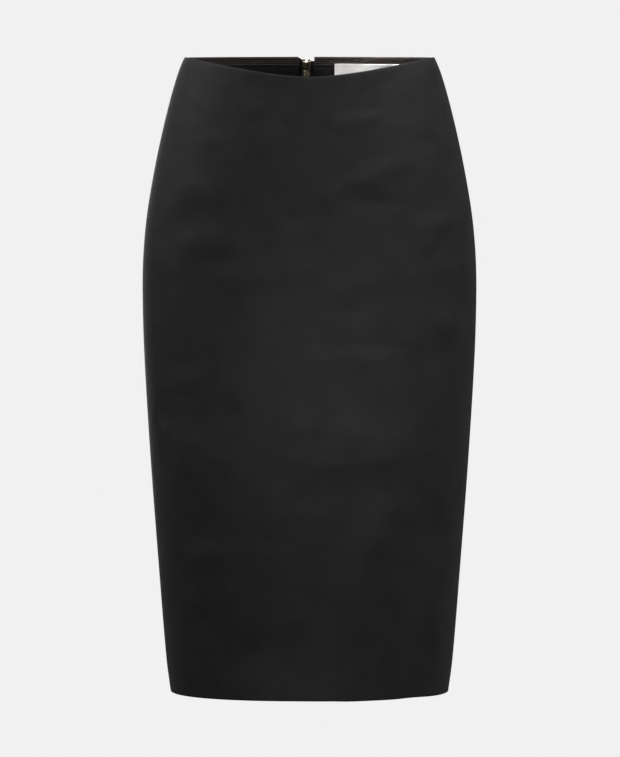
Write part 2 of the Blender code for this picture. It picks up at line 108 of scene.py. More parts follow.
SECTIONS = (
    Section(0.000, 0.1246, 0.0880, 0.0975, 2.26),
    Section(-0.015, 0.1307, 0.0895, 0.1000, 2.27),
    Section(-0.040, 0.1382, 0.0925, 0.1045, 2.28),
    Section(-0.080, 0.1480, 0.0965, 0.1125, 2.30),
    Section(-0.120, 0.1561, 0.0995, 0.1205, 2.31),
    Section(-0.160, 0.1625, 0.1015, 0.1275, 2.32),
    Section(-0.200, 0.1659, 0.1030, 0.1320, 2.33),
    Section(-0.240, 0.1665, 0.1040, 0.1325, 2.34),
    Section(-0.300, 0.1647, 0.1055, 0.1275, 2.35),
    Section(-0.400, 0.1587, 0.1075, 0.1160, 2.36),
    Section(-0.500, 0.1512, 0.1090, 0.1090, 2.37),
    Section(-0.600, 0.1431, 0.1098, 0.1065, 2.37),
    Section(-0.632, 0.1389, 0.1100, 0.1060, 2.37),
)


class Fold(NamedTuple):
    """A soft ridge (height above 0) or trough (below 0) along a line in the cloth."""

    side: Side
    start_across: float
    start_level: float
    end_across: float
    end_level: float
    spread: float               # distance at which the fold has nearly died away
    height: float
    bow: float = 0.0            # how far the middle of its line lies off the straight


F, B = Side.FRONT, Side.BACK

# The folds that the skirt's solids have as well.
FOLDS = (
    Fold(F, 0.106, -0.645, 0.142, -0.385, 0.030, -0.0046),
    Fold(F, 0.042, -0.645, 0.092, -0.400, 0.024, 0.0040, 0.018),
    Fold(F, -0.040, -0.388, 0.150, -0.374, 0.036, 0.0022, -0.006),
    Fold(F, -0.158, -0.395, -0.040, -0.405, 0.042, 0.0022),
    Fold(F, -0.105, -0.583, 0.040, -0.592, 0.032, -0.0017),
    Fold(F, -0.150, -0.118, -0.070, -0.150, 0.024, 0.0018),
    Fold(F, -0.150, -0.180, -0.045, -0.190, 0.020, 0.0015),
    Fold(F, -0.014, -0.152, 0.112, -0.098, 0.015, 0.0016),
    Fold(F, 0.122, -0.214, 0.180, -0.204, 0.020, 0.0017),
    Fold(F, 0.118, -0.268, 0.175, -0.258, 0.022, 0.0018),
    Fold(B, -0.058, -0.645, -0.098, -0.430, 0.024, 0.0036, -0.010),
    Fold(B, -0.116, -0.645, -0.140, -0.410, 0.030, -0.0040),
    Fold(B, 0.064, -0.645, 0.088, -0.455, 0.026, 0.0032, 0.006),
    Fold(B, 0.045, -0.392, 0.150, -0.378, 0.034, 0.0024),
    Fold(B, -0.150, -0.360, -0.042, -0.374, 0.030, 0.0022),
    Fold(B, -0.160, -0.250, -0.060, -0.268, 0.024, 0.0018),
    Fold(B, 0.050, -0.262, 0.165, -0.246, 0.022, 0.0017),
    Fold(B, 0.060, -0.590, 0.140, -0.580, 0.028, -0.0020),
)

# Finer creases, too shallow for the solids.
CREASES = (
    Fold(F, 0.012, -0.060, 0.086, -0.050, 0.014, 0.0009),
    Fold(F, 0.000, -0.030, 0.034, -0.052, 0.012, 0.0005),
    Fold(F, -0.088, -0.045, -0.032, -0.036, 0.015, 0.0004),
    Fold(F, -0.134, -0.036, -0.108, -0.040, 0.013, 0.0005),
    Fold(F, -0.060, -0.080, -0.020, -0.072, 0.015, 0.0004),
    Fold(F, 0.028, -0.140, 0.102, -0.147, 0.014, -0.0011),
    Fold(F, -0.016, -0.118, 0.014, -0.116, 0.010, 0.0006),
    Fold(F, -0.032, -0.158, -0.004, -0.170, 0.013, -0.0008),
    Fold(F, -0.124, -0.218, -0.018, -0.223, 0.017, 0.0011),
    Fold(F, 0.102, -0.177, 0.168, -0.154, 0.013, 0.0012),
    Fold(F, 0.104, -0.190, 0.136, -0.184, 0.011, 0.0008),
    Fold(F, 0.010, -0.232, 0.082, -0.224, 0.018, 0.0009),
    Fold(F, 0.034, -0.283, 0.106, -0.286, 0.009, -0.0006),
    Fold(F, -0.032, -0.301, 0.086, -0.297, 0.014, 0.0009),
    Fold(F, -0.071, -0.318, -0.061, -0.354, 0.014, 0.0010),
    Fold(F, -0.145, -0.318, -0.100, -0.322, 0.016, 0.0009),
    Fold(F, -0.026, -0.372, 0.068, -0.377, 0.013, 0.0009, 0.008),
    Fold(F, -0.178, -0.348, -0.146, -0.362, 0.016, -0.0012),
    Fold(F, -0.026, -0.402, 0.152, -0.384, 0.008, 0.0006, -0.006),
    Fold(F, 0.038, -0.490, 0.096, -0.457, 0.011, 0.0005),
    Fold(F, -0.132, -0.502, -0.078, -0.480, 0.016, 0.0009),
    Fold(F, -0.120, -0.556, -0.064, -0.566, 0.018, -0.0009),
    Fold(F, -0.040, -0.455, 0.010, -0.447, 0.020, 0.0008),
    Fold(F, 0.008, -0.645, 0.006, -0.560, 0.018, 0.0009),
    Fold(F, 0.0465, -0.645, 0.047, -0.535, 0.009, -0.0006),
    Fold(F, 0.148, -0.622, 0.126, -0.480, 0.010, 0.0008),
    Fold(B, 0.034, -0.058, 0.100, -0.046, 0.012, 0.0013),
    Fold(B, -0.110, -0.040, -0.060, -0.052, 0.012, 0.0010),
    Fold(B, -0.140, -0.112, -0.060, -0.094, 0.015, 0.0012),
    Fold(B, 0.060, -0.146, 0.134, -0.112, 0.014, 0.0014),
    Fold(B, 0.066, -0.160, 0.120, -0.162, 0.014, -0.0010),
    Fold(B, -0.128, -0.204, -0.050, -0.188, 0.016, 0.0012),
    Fold(B, 0.048, -0.212, 0.106, -0.204, 0.016, 0.0010),
    Fold(B, 0.140, -0.214, 0.182, -0.202, 0.016, 0.0012),
    Fold(B, -0.182, -0.216, -0.138, -0.206, 0.016, 0.0012),
    Fold(B, -0.118, -0.306, -0.040, -0.314, 0.015, 0.0010, 0.006),
    Fold(B, 0.040, -0.322, 0.110, -0.312, 0.014, 0.0009),
    Fold(B, 0.116, -0.340, 0.168, -0.326, 0.016, 0.0011),
    Fold(B, -0.152, -0.430, -0.100, -0.414, 0.014, 0.0009),
    Fold(B, 0.036, -0.446, 0.120, -0.424, 0.010, 0.0008, -0.006),
    Fold(B, 0.096, -0.500, 0.144, -0.478, 0.014, 0.0009),
    Fold(B, -0.080, -0.506, -0.040, -0.494, 0.014, 0.0008),
    Fold(B, -0.134, -0.560, -0.096, -0.568, 0.018, -0.0009),
    Fold(B, 0.128, -0.645, 0.134, -0.570, 0.018, -0.0010),
)


def ease(share: np.ndarray | float) -> np.ndarray:
    """Return 0 below 0, 1 above 1, and a smooth rise between them."""
    inside = np.clip(share, 0.0, 1.0)
    return inside * inside * (3.0 - 2.0 * inside)


@dataclass(frozen=True)
class SkirtSizes:
    """The driving dimensions that the cloth pieces share, as the solids have them."""

    hem_level: float = -0.632
    waist_dip_front: float = 0.0226
    waist_dip_power: float = 1.65
    waist_rise_back: float = 0.0048
    waist_shape_height: float = 0.120
    cloth: float = 0.0015
    facing: float = 0.0010
    zip_tape: float = 0.0010
    gap: float = 0.0003
    hem_turn: float = 0.040
    hem_turn_cloth: float = 0.0012
    waist_tape_drop: float = 0.0004
    waist_tape_height: float = 0.0085
    facing_height: float = 0.050
    centre_back: float = -0.0032
    zip_window: float = 0.0162
    zip_window_foot: float = -0.2045
    zip_window_corner: float = 0.0012
    slit_top: float = -0.452
    slit_width_at_hem: float = 0.0040
    chain_width: float = 0.0062
    chain_thickness: float = 0.0026
    chain_top: float = -0.0070
    chain_foot: float = -0.1985
    zip_tape_width: float = 0.0117

    @property
    def waist_tape_foot(self) -> float:
        """Level of the waist tape's lower edge."""
        return -self.waist_tape_drop - self.waist_tape_height

    @property
    def hem_turn_top(self) -> float:
        """Level of the turned-up hem's upper edge."""
        return self.hem_level + self.hem_turn

    @property
    def zip_plane(self) -> float:
        """Depth of the middle of the zip's tapes and teeth."""
        return self.cloth + self.gap + 0.5 * self.zip_tape


@dataclass
class SkirtForm:
    """The outer surface of the skirt, its folds included."""

    sizes: SkirtSizes = field(default_factory=SkirtSizes)
    table_margin: float = 0.005         # how far the table runs past the waist and the hem
    table_step: float = 0.0005
    table_end: float = 0.001            # share of a step that places keep off the table's end
    arc_steps: int = 160
    share_steps: int = 400
    normal_step: float = 0.0006
    zip_step: float = 0.002             # half the height over which the zip's slope is read
    seam_margin: float = 0.022          # folds die away this far from a side seam
    zip_margin: float = 0.030           # and this far from the centre back
    end_share: float = 0.35             # share of its length over which a fold's end dies away
    waist_roll: float = 0.0003          # how far the topmost cloth leans in
    waist_roll_height: float = 0.0030

    def __post_init__(self) -> None:
        """Work out the sections at close levels, with places at even shares of their length."""
        self.table_top = self.table_margin
        foot = self.sizes.hem_level - self.table_margin
        self.rows = round((self.table_top - foot) / self.table_step) + 1
        self.table_levels = self.table_top - self.table_step * np.arange(self.rows)
        turn = 0.5 * math.pi * np.arange(self.arc_steps + 1) / self.arc_steps
        shares = np.linspace(0.0, 1.0, self.share_steps + 1)
        width = self.section_value(self.table_levels, "half_width")[:, None]
        power = 2.0 / self.section_value(self.table_levels, "power")[:, None]
        self.arcs: dict[Side, np.ndarray] = {}
        self.lengths: dict[Side, np.ndarray] = {}
        for side in Side:
            depth = self.section_value(self.table_levels, side.value)[:, None]
            places = np.stack([width * np.abs(np.sin(turn)) ** power,
                               depth * np.abs(np.cos(turn)) ** power], axis=2)
            steps = np.linalg.norm(np.diff(places, axis=1), axis=2)
            run = np.concatenate([np.zeros((self.rows, 1)), np.cumsum(steps, axis=1)], axis=1)
            table = np.empty((self.rows, self.share_steps + 1, 2))
            for row in range(self.rows):
                for axis in range(2):
                    table[row, :, axis] = np.interp(shares * run[row, -1], run[row],
                                                    places[row, :, axis])
            self.arcs[side] = table
            self.lengths[side] = run[:, -1]

    def section_value(self, level: np.ndarray, column: str) -> np.ndarray:
        """Return one column of the section table at any levels, on a smooth curve.

        Args:
            level: The levels.
            column: The name of the column.

        Returns:
            The column's value at each level.
        """
        knots = -np.array([row.level for row in SECTIONS])
        values = np.array([getattr(row, column) for row in SECTIONS])
        before = np.maximum(np.arange(len(knots)) - 1, 0)
        after = np.minimum(np.arange(len(knots)) + 1, len(knots) - 1)
        slopes = (values[after] - values[before]) / (knots[after] - knots[before])
        place = np.clip(np.searchsorted(knots, -level, side="right") - 1, 0, len(knots) - 2)
        step = knots[place + 1] - knots[place]
        share = (-level - knots[place]) / step
        value = values[place] * (1 + 2 * share) * (1 - share) ** 2
        value += values[place + 1] * share * share * (3 - 2 * share)
        value += slopes[place] * step * share * (1 - share) ** 2
        value += slopes[place + 1] * step * share * share * (share - 1)
        return value

    def half_length(self, side: Side, level: np.ndarray | float) -> np.ndarray:
        """Return the distance along a section from its centre to a side seam."""
        return np.interp(-np.asarray(level, float), -self.table_levels, self.lengths[side])

    def smooth_point(self, side: Side, across: np.ndarray, level: np.ndarray) -> np.ndarray:
        """Return points of the cloth's outer face before its folds.

        Args:
            side: The front or the back.
            across: Distances across.
            level: Levels, as many.

        Returns:
            The points, one a row.
        """
        table = self.arcs[side]
        share = np.clip(np.abs(across) / self.half_length(side, level), 0.0, 1.0)
        row = np.clip((self.table_top - level) / self.table_step, 0.0,
                      self.rows - 1.0 - self.table_end)
        place = np.clip(share * self.share_steps, 0.0, self.share_steps - self.table_end)
        upper, inner = row.astype(int), place.astype(int)
        down, out = (row - upper)[:, None], (place - inner)[:, None]
        near = table[upper, inner] * (1 - down) + table[upper + 1, inner] * down
        far = table[upper, inner + 1] * (1 - down) + table[upper + 1, inner + 1] * down
        flat = near * (1 - out) + far * out
        x = np.copysign(flat[:, 0], across)
        y = flat[:, 1] if side is Side.BACK else -flat[:, 1]
        return np.stack([x, y, level + self.waist_shift(side, x, y, level)], axis=1)

    def waist_shift(self, side: Side, x: np.ndarray, y: np.ndarray,
                    level: np.ndarray) -> np.ndarray:
        """Return how far the waist edge's shape moves points up or down.

        Args:
            side: The front or the back.
            x: How far the points lie to the left.
            y: How far they lie back.
            level: Levels, as many.

        Returns:
            The shifts, above 0 for up.
        """
        sizes = self.sizes
        fade = ease(1.0 + level / sizes.waist_shape_height)
        if side is Side.BACK:
            depth = self.section_value(level, side.value)
            return sizes.waist_rise_back * fade * np.abs(y) / depth
        share = np.minimum(1.0, np.abs(x) / self.section_value(level, "half_width"))
        return -sizes.waist_dip_front * fade * (1.0 - share ** sizes.waist_dip_power)

    def outward(self, side: Side, across: np.ndarray, level: np.ndarray) -> np.ndarray:
        """Return the cloth's outward directions, level with the seams at the seams.

        Args:
            side: The front or the back.
            across: Distances across.
            level: Levels, as many.

        Returns:
            The unit directions, one a row.
        """
        step = self.normal_step
        limit = self.half_length(side, level)
        near = np.clip(across - 0.5 * step, -limit, limit - step)
        sideways = (self.smooth_point(side, near + step, level)
                    - self.smooth_point(side, near, level))
        share = across / limit
        above, below = level + step, level - step
        upwards = (self.smooth_point(side, share * self.half_length(side, above), above)
                   - self.smooth_point(side, share * self.half_length(side, below), below))
        normal = np.cross(sideways, upwards)
        normal /= np.linalg.norm(normal, axis=1, keepdims=True)
        return -normal if side is Side.BACK else normal

    def fold_height(self, side: Side, across: np.ndarray, level: np.ndarray) -> np.ndarray:
        """Return how far the folds and creases move the cloth out at each place.

        Args:
            side: The front or the back.
            across: Distances across.
            level: Levels, as many.

        Returns:
            The heights, below 0 for in.
        """
        height = np.zeros_like(across)
        for fold in FOLDS + CREASES:
            if fold.side is not side:
                continue
            run = np.array([fold.end_across - fold.start_across,
                            fold.end_level - fold.start_level])
            length = float(np.hypot(*run))
            run /= length
            first, second = across - fold.start_across, level - fold.start_level
            share = (first * run[0] + second * run[1]) / length
            inside = np.clip(share, 0.0, 1.0)
            beside = second * run[0] - first * run[1] - 4.0 * fold.bow * inside * (1.0 - inside)
            away = np.hypot((share - inside) * length, beside) / fold.spread
            if fold.start_level <= self.sizes.hem_level:
                ends = (1.0 - share) / self.end_share
            else:
                ends = np.minimum(share, 1.0 - share) / self.end_share
            height += fold.height * np.exp(-2.0 * away * away) * ease(ends)
        height *= ease((self.half_length(side, level) - np.abs(across)) / self.seam_margin)
        if side is Side.BACK:
            edge = np.abs(across - self.sizes.centre_back) - 0.5 * self.sizes.zip_window
            height *= ease(edge / self.zip_margin)
        return height

    def cloth_point(self, side: Side, across: np.ndarray, level: np.ndarray,
                    depth: np.ndarray) -> np.ndarray:
        """Return points at a depth in from the cloth's outer face, folds included.

        Args:
            side: The front or the back.
            across: Distances across.
            level: Levels, as many.
            depth: Depths in, as many.

        Returns:
            The points, one a row.
        """
        roll = self.waist_roll * np.clip(1.0 + level / self.waist_roll_height, 0.0, 1.0) ** 2
        move = self.fold_height(side, across, level) - depth - roll
        return (self.smooth_point(side, across, level)
                + self.outward(side, across, level) * move[:, None])

    def place(self, side: Side, across: float, level: float, depth: float) -> Matrix:
        """Return a frame on the cloth.

        Args:
            side: The front or the back.
            across: Its distance across.
            level: Its level.
            depth: How deep in it lies.

        Returns:
            A frame whose X runs across, Y out of the skirt and Z up along the cloth.
        """
        step = self.normal_step
        spots = np.array([[across, level], [across + step, level], [across, level + step]])
        points = self.cloth_point(side, spots[:, 0], spots[:, 1], np.full(3, depth))
        middle = Vector(points[0])
        right = (Vector(points[1]) - middle).normalized()
        up = Vector(points[2]) - middle
        up = (up - right * up.dot(right)).normalized()
        out = up.cross(right)
        turn = Matrix((right, out, up)).transposed().to_4x4()
        return Matrix.Translation(middle) @ turn

    def zip_place(self, level: float, height: float = 0.0) -> Matrix:
        """Return the frame of the zip's centre line at a level.

        Args:
            level: The level on the centre back.
            height: How far out from the middle of the tapes the frame lies.

        Returns:
            A frame whose X runs across the zip, Y out of the skirt and Z up along the zip.
        """
        levels = np.array([level + self.zip_step, level - self.zip_step, level])
        points = self.cloth_point(Side.BACK, np.full(3, self.sizes.centre_back), levels,
                                  np.full(3, self.sizes.zip_plane))
        above, below = points[0], points[1]
        tilt = math.atan2(below[1] - above[1], above[2] - below[2])
        return (Matrix.Translation(Vector(points[2])) @ Matrix.Rotation(tilt, 4, "X")
                @ Matrix.Translation((0.0, height, 0.0)))

    def centre_gap(self, level: np.ndarray) -> np.ndarray:
        """Return half the distance between the two back panels.

        Args:
            level: The levels.

        Returns:
            The half gaps.
        """
        sizes = self.sizes
        slit = np.maximum(0.0, sizes.slit_top - level) / (sizes.slit_top - sizes.hem_level)
        closed = SEAM_GAP + 0.5 * sizes.slit_width_at_hem * slit
        corner = sizes.zip_window_corner
        window = ease((level - sizes.zip_window_foot + corner) / corner)
        return closed + (0.5 * sizes.zip_window - closed) * window


# ---------------- shader maths


class Value:
    """A number that varies over a surface; arithmetic on it adds Math nodes."""

    def __init__(self, board: "Board", socket: NodeSocket) -> None:
        """Wrap one output socket of a board."""
        self.board = board
        self.socket = socket

    def __add__(self, other: "Value | float") -> "Value":
        """Return the sum."""
        return self.board.math("ADD", self, other)

    def __sub__(self, other: "Value | float") -> "Value":
        """Return the difference."""
        return self.board.math("SUBTRACT", self, other)

    def __rsub__(self, other: float) -> "Value":
        """Return the difference from a number."""
        return self.board.math("SUBTRACT", other, self)

    def __mul__(self, other: "Value | float") -> "Value":
        """Return the product."""
        return self.board.math("MULTIPLY", self, other)

    __radd__ = __add__
    __rmul__ = __mul__

    def wave(self, pitch: float) -> "Value":
        """Return a wave from 0 to 1 that repeats at a pitch, in metres."""
        return self.board.math("SINE", self * (2.0 * math.pi / pitch)) * 0.5 + 0.5

    def zigzag(self, pitch: float) -> "Value":
        """Return a triangle wave between 0 and half a pitch, in metres."""
        return self.board.math("PINGPONG", self, 0.5 * pitch)

    def mixed(self, other: "Value", share: float) -> "Value":
        """Return a share of this value with the rest from another."""
        return other + (self - other) * share


class Board:
    """The node tree of one material."""

    def __init__(self, name: str) -> None:
        """Make an empty material.

        Args:
            name: The material's name.
        """
        self.material = bpy.data.materials.new(name)
        self.material.use_nodes = True
        self.tree = self.material.node_tree
        self.tree.nodes.clear()

    def node(self, kind: str, settings: dict | None = None,
             values: dict | None = None) -> Node:
        """Add one node.

        Args:
            kind: The node's type.
            settings: Its settings by name, made before its sockets are filled.
            values: Numbers, colours, sockets or Values, by the input's name or place.

        Returns:
            The node.
        """
        node = self.tree.nodes.new(kind)
        for name, setting in (settings or {}).items():
            setattr(node, name, setting)
        for key, value in (values or {}).items():
            socket = node.inputs[key]
            if isinstance(value, Value):
                value = value.socket
            if isinstance(value, NodeSocket):
                self.tree.links.new(value, socket)
            else:
                socket.default_value = value
        return node

    def math(self, operation: str, *values: Value | float) -> Value:
        """Return the result of one Math node."""
        node = self.node("ShaderNodeMath", {"operation": operation}, dict(enumerate(values)))
        return Value(self, node.outputs[0])

    def flat_cut(self) -> tuple[NodeSocket, Value, Value]:
        """Read a cloth piece's flat cut.

        Returns:
            The place on it, and its distance across and its level.
        """
        place = self.node("ShaderNodeUVMap", {"uv_map": FLAT_CUT}).outputs[0]
        parts = self.node("ShaderNodeSeparateXYZ", values={0: place}).outputs
        return place, Value(self, parts[0]), Value(self, parts[1])

    def object_place(self) -> NodeSocket:
        """Return the place in the object's own frame."""
        return self.node("ShaderNodeTexCoord").outputs["Object"]

    def noise(self, place: NodeSocket, cells: float, detail: float = 2.0,
              roughness: float = 0.55) -> Value:
        """Return a soft noise from 0 to 1.

        Args:
            place: Where it is read.
            cells: How many cells it has to the metre.
            detail: How many finer layers it has.
            roughness: How strong the finer layers are.

        Returns:
            The noise.
        """
        node = self.node("ShaderNodeTexNoise", {"noise_dimensions": "3D"},
                         {"Vector": place, "Scale": cells, "Detail": detail,
                          "Roughness": roughness})
        return Value(self, node.outputs[0])

    def stretched(self, place: NodeSocket, scale: Colour) -> NodeSocket:
        """Return a place with each of its axes scaled."""
        return self.node("ShaderNodeVectorMath", {"operation": "MULTIPLY"},
                         {0: place, 1: scale}).outputs[0]

    def blend(self, share: Value, first: Colour, second: Colour) -> NodeSocket:
        """Return a colour between two, by a share."""
        return self.node("ShaderNodeMix", {"data_type": "RGBA"},
                         {0: share, 6: (*first, 1.0), 7: (*second, 1.0)}).outputs[2]

    def bump(self, height: Value, distance: float,
             under: NodeSocket | None = None) -> NodeSocket:
        """Return the normal of a surface raised by a height from 0 to 1 times a distance.

        Args:
            height: The height.
            distance: How far a height of 1 stands out, in metres.
            under: The normal of the relief that it lies on, if any.

        Returns:
            The normal.
        """
        values = {"Strength": 1.0, "Distance": distance, "Height": height}
        if under is not None:
            values["Normal"] = under
        return self.node("ShaderNodeBump", values=values).outputs[0]

    def finish(self, values: dict) -> Material:
        """Close the tree with a Principled shader.

        Args:
            values: What its inputs take, by name.

        Returns:
            The material.
        """
        shader = self.node("ShaderNodeBsdfPrincipled", values=values)
        self.node("ShaderNodeOutputMaterial", values={0: shader.outputs[0]})
        return self.material


# ---------------- finishes


@dataclass(frozen=True)
class Finish:
    """What the finishes share: a colour between two shades, a roughness and a fine relief."""

    name: str
    dark: Colour
    light: Colour
    relief: float                       # how far the fine relief stands out
    roughness: float
    roughness_swing: float              # what its unevenness adds
    gloss: float = 0.5
    metallic: float = 0.0

    def close(self, board: Board, tone: Value, uneven: Value, height: Value,
              under: NodeSocket | None = None) -> Material:
        """Close a finish's material.

        Args:
            board: Its node tree.
            tone: Where its colour lies, from dark at 0 to light at 1.
            uneven: What varies its roughness, from 0 to 1.
            height: The height of its fine relief, from 0 to 1.
            under: The normal of the relief below that one, if any.

        Returns:
            The material.
        """
        return board.finish({
            "Base Color": board.blend(tone, self.dark, self.light),
            "Roughness": uneven * self.roughness_swing + self.roughness,
            "Metallic": self.metallic,
            "Specular IOR Level": self.gloss,
            "Normal": board.bump(height, self.relief, under=under),
        })


@dataclass(frozen=True)
class SuitingCloth(Finish):
    """A matt black suiting: a fine twill with a soft, slightly uneven surface."""

    name: str = "skirt_cloth"
    dark: Colour = (0.0050, 0.0050, 0.0052)
    light: Colour = (0.0165, 0.0163, 0.0165)
    relief: float = 0.00007
    roughness: float = 0.55
    roughness_swing: float = 0.12
    gloss: float = 0.20
    twill_pitch: float = 0.00052
    twill_tone: float = 0.12
    twill_height: float = 0.60
    yarn_pitch: float = 0.00030
    yarn_height: float = 0.15
    grain_cells: float = 480.0
    grain_roughness: float = 0.7
    grain_tone: float = 1.30
    grain_height: float = 0.45
    mottle_cells: float = 34.0
    mottle_detail: float = 3.0
    mottle_roughness: float = 0.6
    mottle_tone: float = 1.10
    tone_shift: float = -0.73
    drape_cells: float = 32.0
    drape_stretch: Colour = (0.7, 1.2, 1.0)
    drape_detail: float = 1.0
    drape_roughness: float = 0.4
    drape_relief: float = 0.0013

    def material(self) -> Material:
        """Make the cloth's material.

        Returns:
            The material.
        """
        board = Board(self.name)
        place, across, level = board.flat_cut()
        twill = (across + level).wave(self.twill_pitch)
        yarn = across.wave(self.yarn_pitch)
        grain = board.noise(place, self.grain_cells, roughness=self.grain_roughness)
        mottle = board.noise(place, self.mottle_cells, self.mottle_detail,
                             self.mottle_roughness)
        drape = board.noise(board.stretched(place, self.drape_stretch), self.drape_cells,
                            self.drape_detail, self.drape_roughness)
        tone = (grain * self.grain_tone + mottle * self.mottle_tone + twill * self.twill_tone
                + self.tone_shift)
        height = (twill * self.twill_height + yarn * self.yarn_height
                  + grain * self.grain_height)
        return self.close(board, tone, grain, height, board.bump(drape, self.drape_relief))


@dataclass(frozen=True)
class Woven(Finish):
    """A cloth or tape whose weave gives its relief and shares its tone with a grain."""

    pitch: float = 0.00050              # of its threads
    grain_cells: float = 500.0
    grain_stretch: Colour = (1.0, 1.0, 1.0)
    grain_tone: float = 0.7             # the weave has the rest
    grain_height: float = 0.4

    def weave(self, across: Value, level: Value) -> Value:
        """Return the height of a plain weave."""
        return across.wave(self.pitch) * level.wave(self.pitch)

    def material(self) -> Material:
        """Make the cloth's material.

        Returns:
            The material.
        """
        board = Board(self.name)
        place, across, level = board.flat_cut()
        weave = self.weave(across, level)
        grain = board.noise(board.stretched(place, self.grain_stretch), self.grain_cells)
        return self.close(board, grain.mixed(weave, self.grain_tone), grain,
                          weave + grain * self.grain_height)


@dataclass(frozen=True)
class FacingCloth(Woven):
    """A black plain-woven facing, smoother than the skirt's cloth."""

    name: str = "facing_cloth"
    dark: Colour = (0.0064, 0.0059, 0.0059)
    light: Colour = (0.0156, 0.0144, 0.0143)
    relief: float = 0.00005
    roughness: float = 0.72
    roughness_swing: float = 0.15
    gloss: float = 0.20


@dataclass(frozen=True)
class RibbedTape(Woven):
    """A brown-black ribbed tape; its ribs are in the mesh and its cross threads are here."""

    name: str = "ribbed_tape"
    dark: Colour = (0.0230, 0.0167, 0.0148)
    light: Colour = (0.0590, 0.0430, 0.0380)
    relief: float = 0.00006
    roughness: float = 0.50
    roughness_swing: float = 0.2
    gloss: float = 0.35
    pitch: float = 0.00045
    grain_cells: float = 300.0
    grain_stretch: Colour = (1.0, 4.0, 1.0)
    grain_tone: float = 0.75
    grain_height: float = 0.5

    def weave(self, across: Value, level: Value) -> Value:
        """Return the height of the cross threads."""
        return across.wave(self.pitch)


@dataclass(frozen=True)
class HerringboneTape(Woven):
    """The zip's black tape, woven in a small herringbone."""

    name: str = "zip_tape"
    dark: Colour = (0.0040, 0.0040, 0.0042)
    light: Colour = (0.0130, 0.0130, 0.0135)
    relief: float = 0.00009
    roughness: float = 0.60
    roughness_swing: float = 0.2
    gloss: float = 0.30
    pitch: float = 0.00060
    stripe: float = 0.0026              # width over which the twill runs up and down again
    grain_cells: float = 700.0
    grain_tone: float = 0.5
    grain_height: float = 0.3

    def weave(self, across: Value, level: Value) -> Value:
        """Return the height of the twill's ridges."""
        return (across.zigzag(self.stripe) + level).wave(self.pitch)


@dataclass(frozen=True)
class LabelSatin(Finish):
    """A white woven satin with a fine cross thread."""

    name: str = "label_satin"
    dark: Colour = (0.800, 0.792, 0.785)
    light: Colour = (0.920, 0.912, 0.905)
    relief: float = 0.00004
    roughness: float = 0.34
    roughness_swing: float = 0.15
    thread_pitch: float = 0.00035
    thread_height: float = 0.7          # the floats have the rest
    float_pitch: float = 0.000875
    float_slope: float = 3.0
    grain_cells: float = 400.0
    grain_stretch: Colour = (0.3, 3.0, 1.0)
    grain_tone: float = 0.6             # the threads have the rest

    def material(self) -> Material:
        """Make the label's material.

        Returns:
            The material.
        """
        board = Board(self.name)
        place, across, level = board.flat_cut()
        threads = level.wave(self.thread_pitch)
        floats = (across + level * self.float_slope).wave(self.float_pitch)
        grain = board.noise(board.stretched(place, self.grain_stretch), self.grain_cells)
        return self.close(board, grain.mixed(threads, self.grain_tone), grain,
                          threads.mixed(floats, self.thread_height))


@dataclass(frozen=True)
class PaleGold(Finish):
    """Polished pale-gold plating with faint wear."""

    name: str = "zip_metal"
    dark: Colour = (0.700, 0.600, 0.440)
    light: Colour = (0.860, 0.730, 0.500)
    relief: float = 0.00002
    roughness: float = 0.08
    roughness_swing: float = 0.08
    metallic: float = 1.0
    wear_cells: float = 900.0
    wear_detail: float = 3.0
    scratch_cells: float = 4000.0
    scratch_stretch: Colour = (1.0, 1.0, 0.12)
    scratch_roughness: float = 0.875    # as a share of what the wear adds

    def material(self) -> Material:
        """Make the metal's material.

        Returns:
            The material.
        """
        board = Board(self.name)
        place = board.object_place()
        wear = board.noise(place, self.wear_cells, self.wear_detail)
        scratches = board.noise(board.stretched(place, self.scratch_stretch),
                                self.scratch_cells)
        return self.close(board, wear, wear + scratches * self.scratch_roughness, scratches)


@dataclass(frozen=True)
class SewingThread(Finish):
    """A twisted sewing thread."""

    relief: float = 0.00005
    roughness: float = 0.45
    roughness_swing: float = 0.2
    twist_cells: float = 2600.0
    twist_detail: float = 1.0

    def material(self) -> Material:
        """Make the thread's material.

        Returns:
            The material.
        """
        board = Board(self.name)
        twist = board.noise(board.object_place(), self.twist_cells, self.twist_detail)
        return self.close(board, twist, twist, twist)


@dataclass(frozen=True)
class Finishes:
    """Every material of the skirt, made once."""

    cloth: Material
    facing: Material
    ribbed_tape: Material
    label: Material
    zip_tape: Material
    metal: Material
    black_thread: Material
    white_thread: Material

    @classmethod
    def make(cls) -> "Finishes":
        """Make every material.

        Returns:
            The finishes.
        """
        return cls(
            cloth=SuitingCloth().material(),
            facing=FacingCloth().material(),
            ribbed_tape=RibbedTape().material(),
            label=LabelSatin().material(),
            zip_tape=HerringboneTape().material(),
            metal=PaleGold().material(),
            black_thread=SewingThread("black_thread", (0.008, 0.008, 0.008),
                                      (0.024, 0.024, 0.025)).material(),
            white_thread=SewingThread("white_thread", (0.62, 0.62, 0.60),
                                      (0.86, 0.86, 0.84)).material(),
        )


# ---------------- making pieces


class Crisp(Enum):
    """Which edges of a piece stay sharp: those that bend by more than so many degrees."""

    CLOTH = 50.0
    TOOTH = 20.0
    PLATE = 14.0


def face_outwards(form: BMesh) -> None:
    """Point the faces of closed bodies outwards.

    Args:
        form: The bmesh that they are in.
    """
    bmesh.ops.recalc_face_normals(form, faces=form.faces)
    if form.calc_volume(signed=True) < 0.0:
        bmesh.ops.reverse_faces(form, faces=form.faces)


def round_edges(form: BMesh, edges: Sequence[BMEdge], radius: float, segments: int) -> None:
    """Round some edges of a form."""
    bmesh.ops.bevel(form, geom=edges, offset=radius, offset_type="OFFSET", segments=segments,
                    profile=0.5, affect="EDGES", material=-1)


